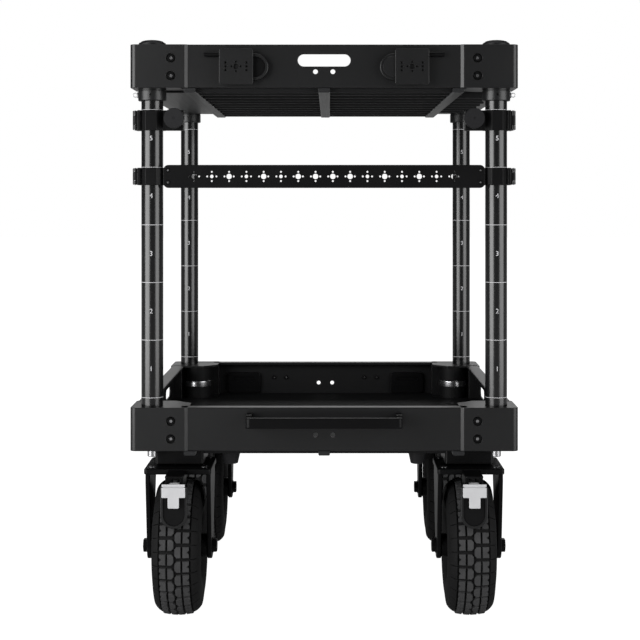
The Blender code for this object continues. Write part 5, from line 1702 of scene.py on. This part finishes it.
def block_rows(surface, outline, depth, turn):
    """A tread block: its outline at the carcass, and drawn in a little at the top, mapped onto the tyre."""
    rows = stacked(outline, [-0.0004, 0.0, 0.0004, 0.0009], [-0.0008, 0.0, depth - 0.0006, depth])
    return surface.points(turn + rows[..., 0] / TREAD_RADIUS, rows[..., 1], rows[..., 2])


def tread_blocks(pitch):
    """Outlines of the blocks of one pitch on one side of the middle, as (along, across).

    A hexagonal block beside the middle, and a block with a notched outer edge.
    """
    long, point, notch = 0.39 * pitch, 0.22 * pitch, 0.13 * pitch
    gap, shoulder, edge = 0.0005, 0.0041, 0.0111
    hexagonal = [(-long, edge), (-long, shoulder), (-point, gap), (point, gap), (long, shoulder),
                 (long, edge)]
    near, far, root = 0.0137, 0.0249, 0.0218
    notched = [(-long, near), (long, near), (long, far), (notch, far), (0.0, root), (-notch, far),
               (-long, far)]
    return hexagonal, notched


def carcass_rows(surface, depth, pitches):
    """The turned carcass, whose shoulders stand up and are crossed by a shallow groove at each pitch.

    Height over the section = 0.6 * depth * ramp(across) * (1 - 0.8 * groove(turn)). The ramp rises 26 mm
    from the middle plane and falls at 41 mm, and the grooves of the two sides are half a pitch apart.
    """
    groove_floor, groove_edge = 0.020, 0.034
    cell = np.array([-groove_edge, -groove_floor, groove_floor, groove_edge, 0.14, 0.25, 0.36])
    spots = (np.arange(2 * pitches)[:, None] * 0.5 + cell).ravel()
    rise_at, rise_top, fall_top, fall_at = 0.0262, 0.0272, 0.0405, 0.0425
    crown = [0.0, 0.006, 0.012, 0.018, 0.0215, rise_at, rise_top]
    half = np.concatenate([crown, np.linspace(0.0295, fall_top, 7), [fall_at],
                           np.linspace(0.046, surface.length[-1], 12)])
    across = np.concatenate([-half[:0:-1], half])
    ramp = np.interp(np.abs(across), [rise_at, rise_top, fall_top, fall_at], [0, 1, 1, 0])
    shift = np.where(across > 0, 0.0, 0.5)
    from_groove = np.abs(np.mod(spots[None] - shift[:, None] + 0.5, 1.0) - 0.5)
    groove = 1 - np.interp(from_groove, [groove_floor, groove_edge], [0, 1])
    height = 0.6 * depth * ramp[:, None] * (1 - 0.8 * groove)
    turn = np.broadcast_to(spots * math.tau / pitches, height.shape)
    rows = surface.points(turn, np.broadcast_to(across[:, None], height.shape), height)
    seat = revolve([(BEAD_RADIUS, BEAD_HALF), (BEAD_RADIUS, 0.0), (BEAD_RADIUS, -BEAD_HALF)], turn[0])
    return np.concatenate([rows, lay(seat, "YZ")])


def tyre_piece(place):
    """A carcass with grooved shoulders, and on each side of the middle two columns of tread blocks."""
    detail = bpy.context.scene.cart_detail
    axle = joint_place(f"wheel_{place}_turn")
    depth, pitches = detail.tread_depth, detail.tread_pitches
    surface = TyreSurface(depth)
    tyre = Shape().add(carcass_rows(surface, depth, pitches) + axle, loop=True)
    outlines = tread_blocks(math.tau * TREAD_RADIUS / pitches)
    for index in range(pitches):
        for side, shift in ((-1, 0.0), (1, 0.5)):
            turn = (index + shift) * math.tau / pitches
            for outline in outlines:
                tyre.add(block_rows(surface, np.array(outline) * (1, side), depth, turn) + axle, 1)
    # The carcass takes a darker rubber than the blocks, as painted shade in the grooves between them.
    finish_piece(f"tyre_body_{place}", tyre, ["carcass", "rubber"], f"wheel_{place}",
                 [f"tyre_{place}"], sharp=28)


class CART_OT_tyres(bpy.types.Operator):
    """Make the four tyres with their block tread."""
    bl_idname = "cart.tyres"
    bl_label = "Tyres"

    def execute(self, context):
        for place in CORNERS:
            tyre_piece(place)
        return {"FINISHED"}


# Stage

# Lamps by place, size and power in watts, which all face one target
LAMP_TARGET = (0, 0, 0.6)
LAMPS = {
    "left_box": ((-2.25, -2.05, 0.85), (2.4, 2.2), 112),
    "right_box": ((2.35, -1.80, 0.85), (2.2, 2.2), 64),
    "rear_box": ((0.4, 3.2, 1.5), (2.6, 1.6), 11),
    "top_box": ((0, -0.2, 3.0), (2.0, 2.0), 15),
}

# The floor: its reach, its grey, its glow on other things, and how much of its own shading the glow replaces
FLOOR_REACH = 30.0
FLOOR_GREY = 0.85
FLOOR_GLOW = 0.22
GLOW_SHARE = 0.8

# Brightness of the room that gloss and glass mirror
ROOM_LIGHT = 0.06
SENSOR_WIDTH = 36


def add_lamp(name, place, size, power):
    """A soft rectangular lamp that faces the target, and that the camera doesn't see."""
    lamp = bpy.data.lights.new(name, "AREA")
    lamp.shape = "RECTANGLE"
    lamp.size, lamp.size_y = size
    lamp.energy = power
    item = bpy.data.objects.new(name, lamp)
    bpy.context.collection.objects.link(item)
    item.location = place
    item.rotation_euler = (Vector(LAMP_TARGET) - Vector(place)).to_track_quat("-Z", "Y").to_euler()
    item.visible_camera = False


class CART_OT_stage(bpy.types.Operator):
    """Set the floor, the even light, the lamps and the camera."""
    bl_idname = "cart.stage"
    bl_label = "Stage"

    def execute(self, context):
        scene = context.scene
        scene.view_settings.view_transform = "Standard"
        self.floor()
        self.world(scene)
        for name, (place, size, power) in LAMPS.items():
            add_lamp(name, place, size, power)
        self.camera(scene)
        return {"FINISHED"}

    def floor(self):
        """A wide pale floor: white to the camera, dimmer in gloss and glass, with the cart's shadow kept."""
        mesh = bpy.data.meshes.new("floor")
        reach = FLOOR_REACH
        mesh.from_pydata([(-reach, -reach, 0), (reach, -reach, 0), (reach, reach, 0), (-reach, reach, 0)], [],
                         [(0, 1, 2, 3)])
        item = bpy.data.objects.new("floor", mesh)
        bpy.context.collection.objects.link(item)
        white = Finish("floor_white", (FLOOR_GREY, FLOOR_GREY, FLOOR_GREY), 0.9, specular=0.0)
        path = white.node("ShaderNodeLightPath")
        seen = path.value("Is Camera Ray")
        mirrored = path.value("Is Glossy Ray") + path.value("Is Transmission Ray")
        share = (seen + mirrored).capped() * GLOW_SHARE
        glow = white.node("ShaderNodeEmission", {}, {"Strength": FLOOR_GLOW + seen})
        mix = white.node("ShaderNodeMixShader", {}, {0: share, 1: white.shader.outputs[0], 2: glow.colour(0)})
        white.tree.links.new(mix.colour(0), white.tree.nodes["Material Output"].inputs["Surface"])
        mesh.materials.append(white.material)

    def world(self, scene):
        """White to the camera, a dim room in gloss and glass, and plain light on everything else."""
        world = bpy.data.worlds.new("studio")
        scene.world = world
        world.use_nodes = True
        tree = Tree(world.node_tree)
        path = tree.node("ShaderNodeLightPath")
        mirrored = (path.value("Is Glossy Ray") + path.value("Is Transmission Ray")).capped()
        seen = path.value("Is Camera Ray")
        plain = (1.0 - seen) * (1.0 - mirrored) * scene.cart_stage.world_light
        tree.feed({"Color": (1, 1, 1, 1), "Strength": seen + mirrored * ROOM_LIGHT + plain},
                  world.node_tree.nodes["Background"])

    def camera(self, scene):
        """The photograph's camera: level, with a shifted frame."""
        settings = scene.cart_stage
        data = bpy.data.cameras.new("camera")
        data.sensor_width = SENSOR_WIDTH
        data.lens = settings.lens
        data.shift_x, data.shift_y = settings.shift
        item = bpy.data.objects.new("camera", data)
        bpy.context.collection.objects.link(item)
        item.location = settings.camera_place
        item.rotation_euler = (math.radians(90) - settings.camera_tilt, 0, 0)
        scene.camera = item


class CART_PT_sidebar(bpy.types.Panel):
    """Lists the settings and the operators in the sidebar of the 3D view."""
    bl_idname = "CART_PT_sidebar"
    bl_label = "Cart workstation"
    bl_space_type = "VIEW_3D"
    bl_region_type = "UI"
    bl_category = "Cart"

    def draw(self, context):
        for group in (context.scene.cart_finish, context.scene.cart_detail, context.scene.cart_stage):
            column = self.layout.column()
            for name in group.bl_rna.properties.keys():
                if name not in ("rna_type", "name"):
                    column.prop(group, name)
        for operator in OPERATORS:
            self.layout.operator(operator.bl_idname)


SETTINGS = {
    "cart_finish": CartFinishSettings,
    "cart_detail": CartDetailSettings,
    "cart_stage": CartStageSettings,
}
OPERATORS = (CART_OT_corners, CART_OT_walls, CART_OT_floors, CART_OT_posts, CART_OT_pull_pins,
             CART_OT_grab_handle, CART_OT_accessory_plates, CART_OT_cross_bar, CART_OT_clamps,
             CART_OT_casters, CART_OT_pedals, CART_OT_rims, CART_OT_tyres, CART_OT_stage)


def register():
    """Register the settings, the operators and the panel."""
    for name, group in SETTINGS.items():
        bpy.utils.register_class(group)
        setattr(bpy.types.Scene, name, bpy.props.PointerProperty(type=group))
    for kind in (*OPERATORS, CART_PT_sidebar):
        bpy.utils.register_class(kind)


def unregister():
    """Take everything out again."""
    for kind in (CART_PT_sidebar, *reversed(OPERATORS)):
        bpy.utils.unregister_class(kind)
    for name, group in reversed(SETTINGS.items()):
        delattr(bpy.types.Scene, name)
        bpy.utils.unregister_class(group)


def main():
    """Register the settings and operators, then make every piece in order."""
    register()
    for operator in OPERATORS:
        group, name = operator.bl_idname.split(".")
        getattr(getattr(bpy.ops, group), name)()


if __name__ == "__main__":
    main()
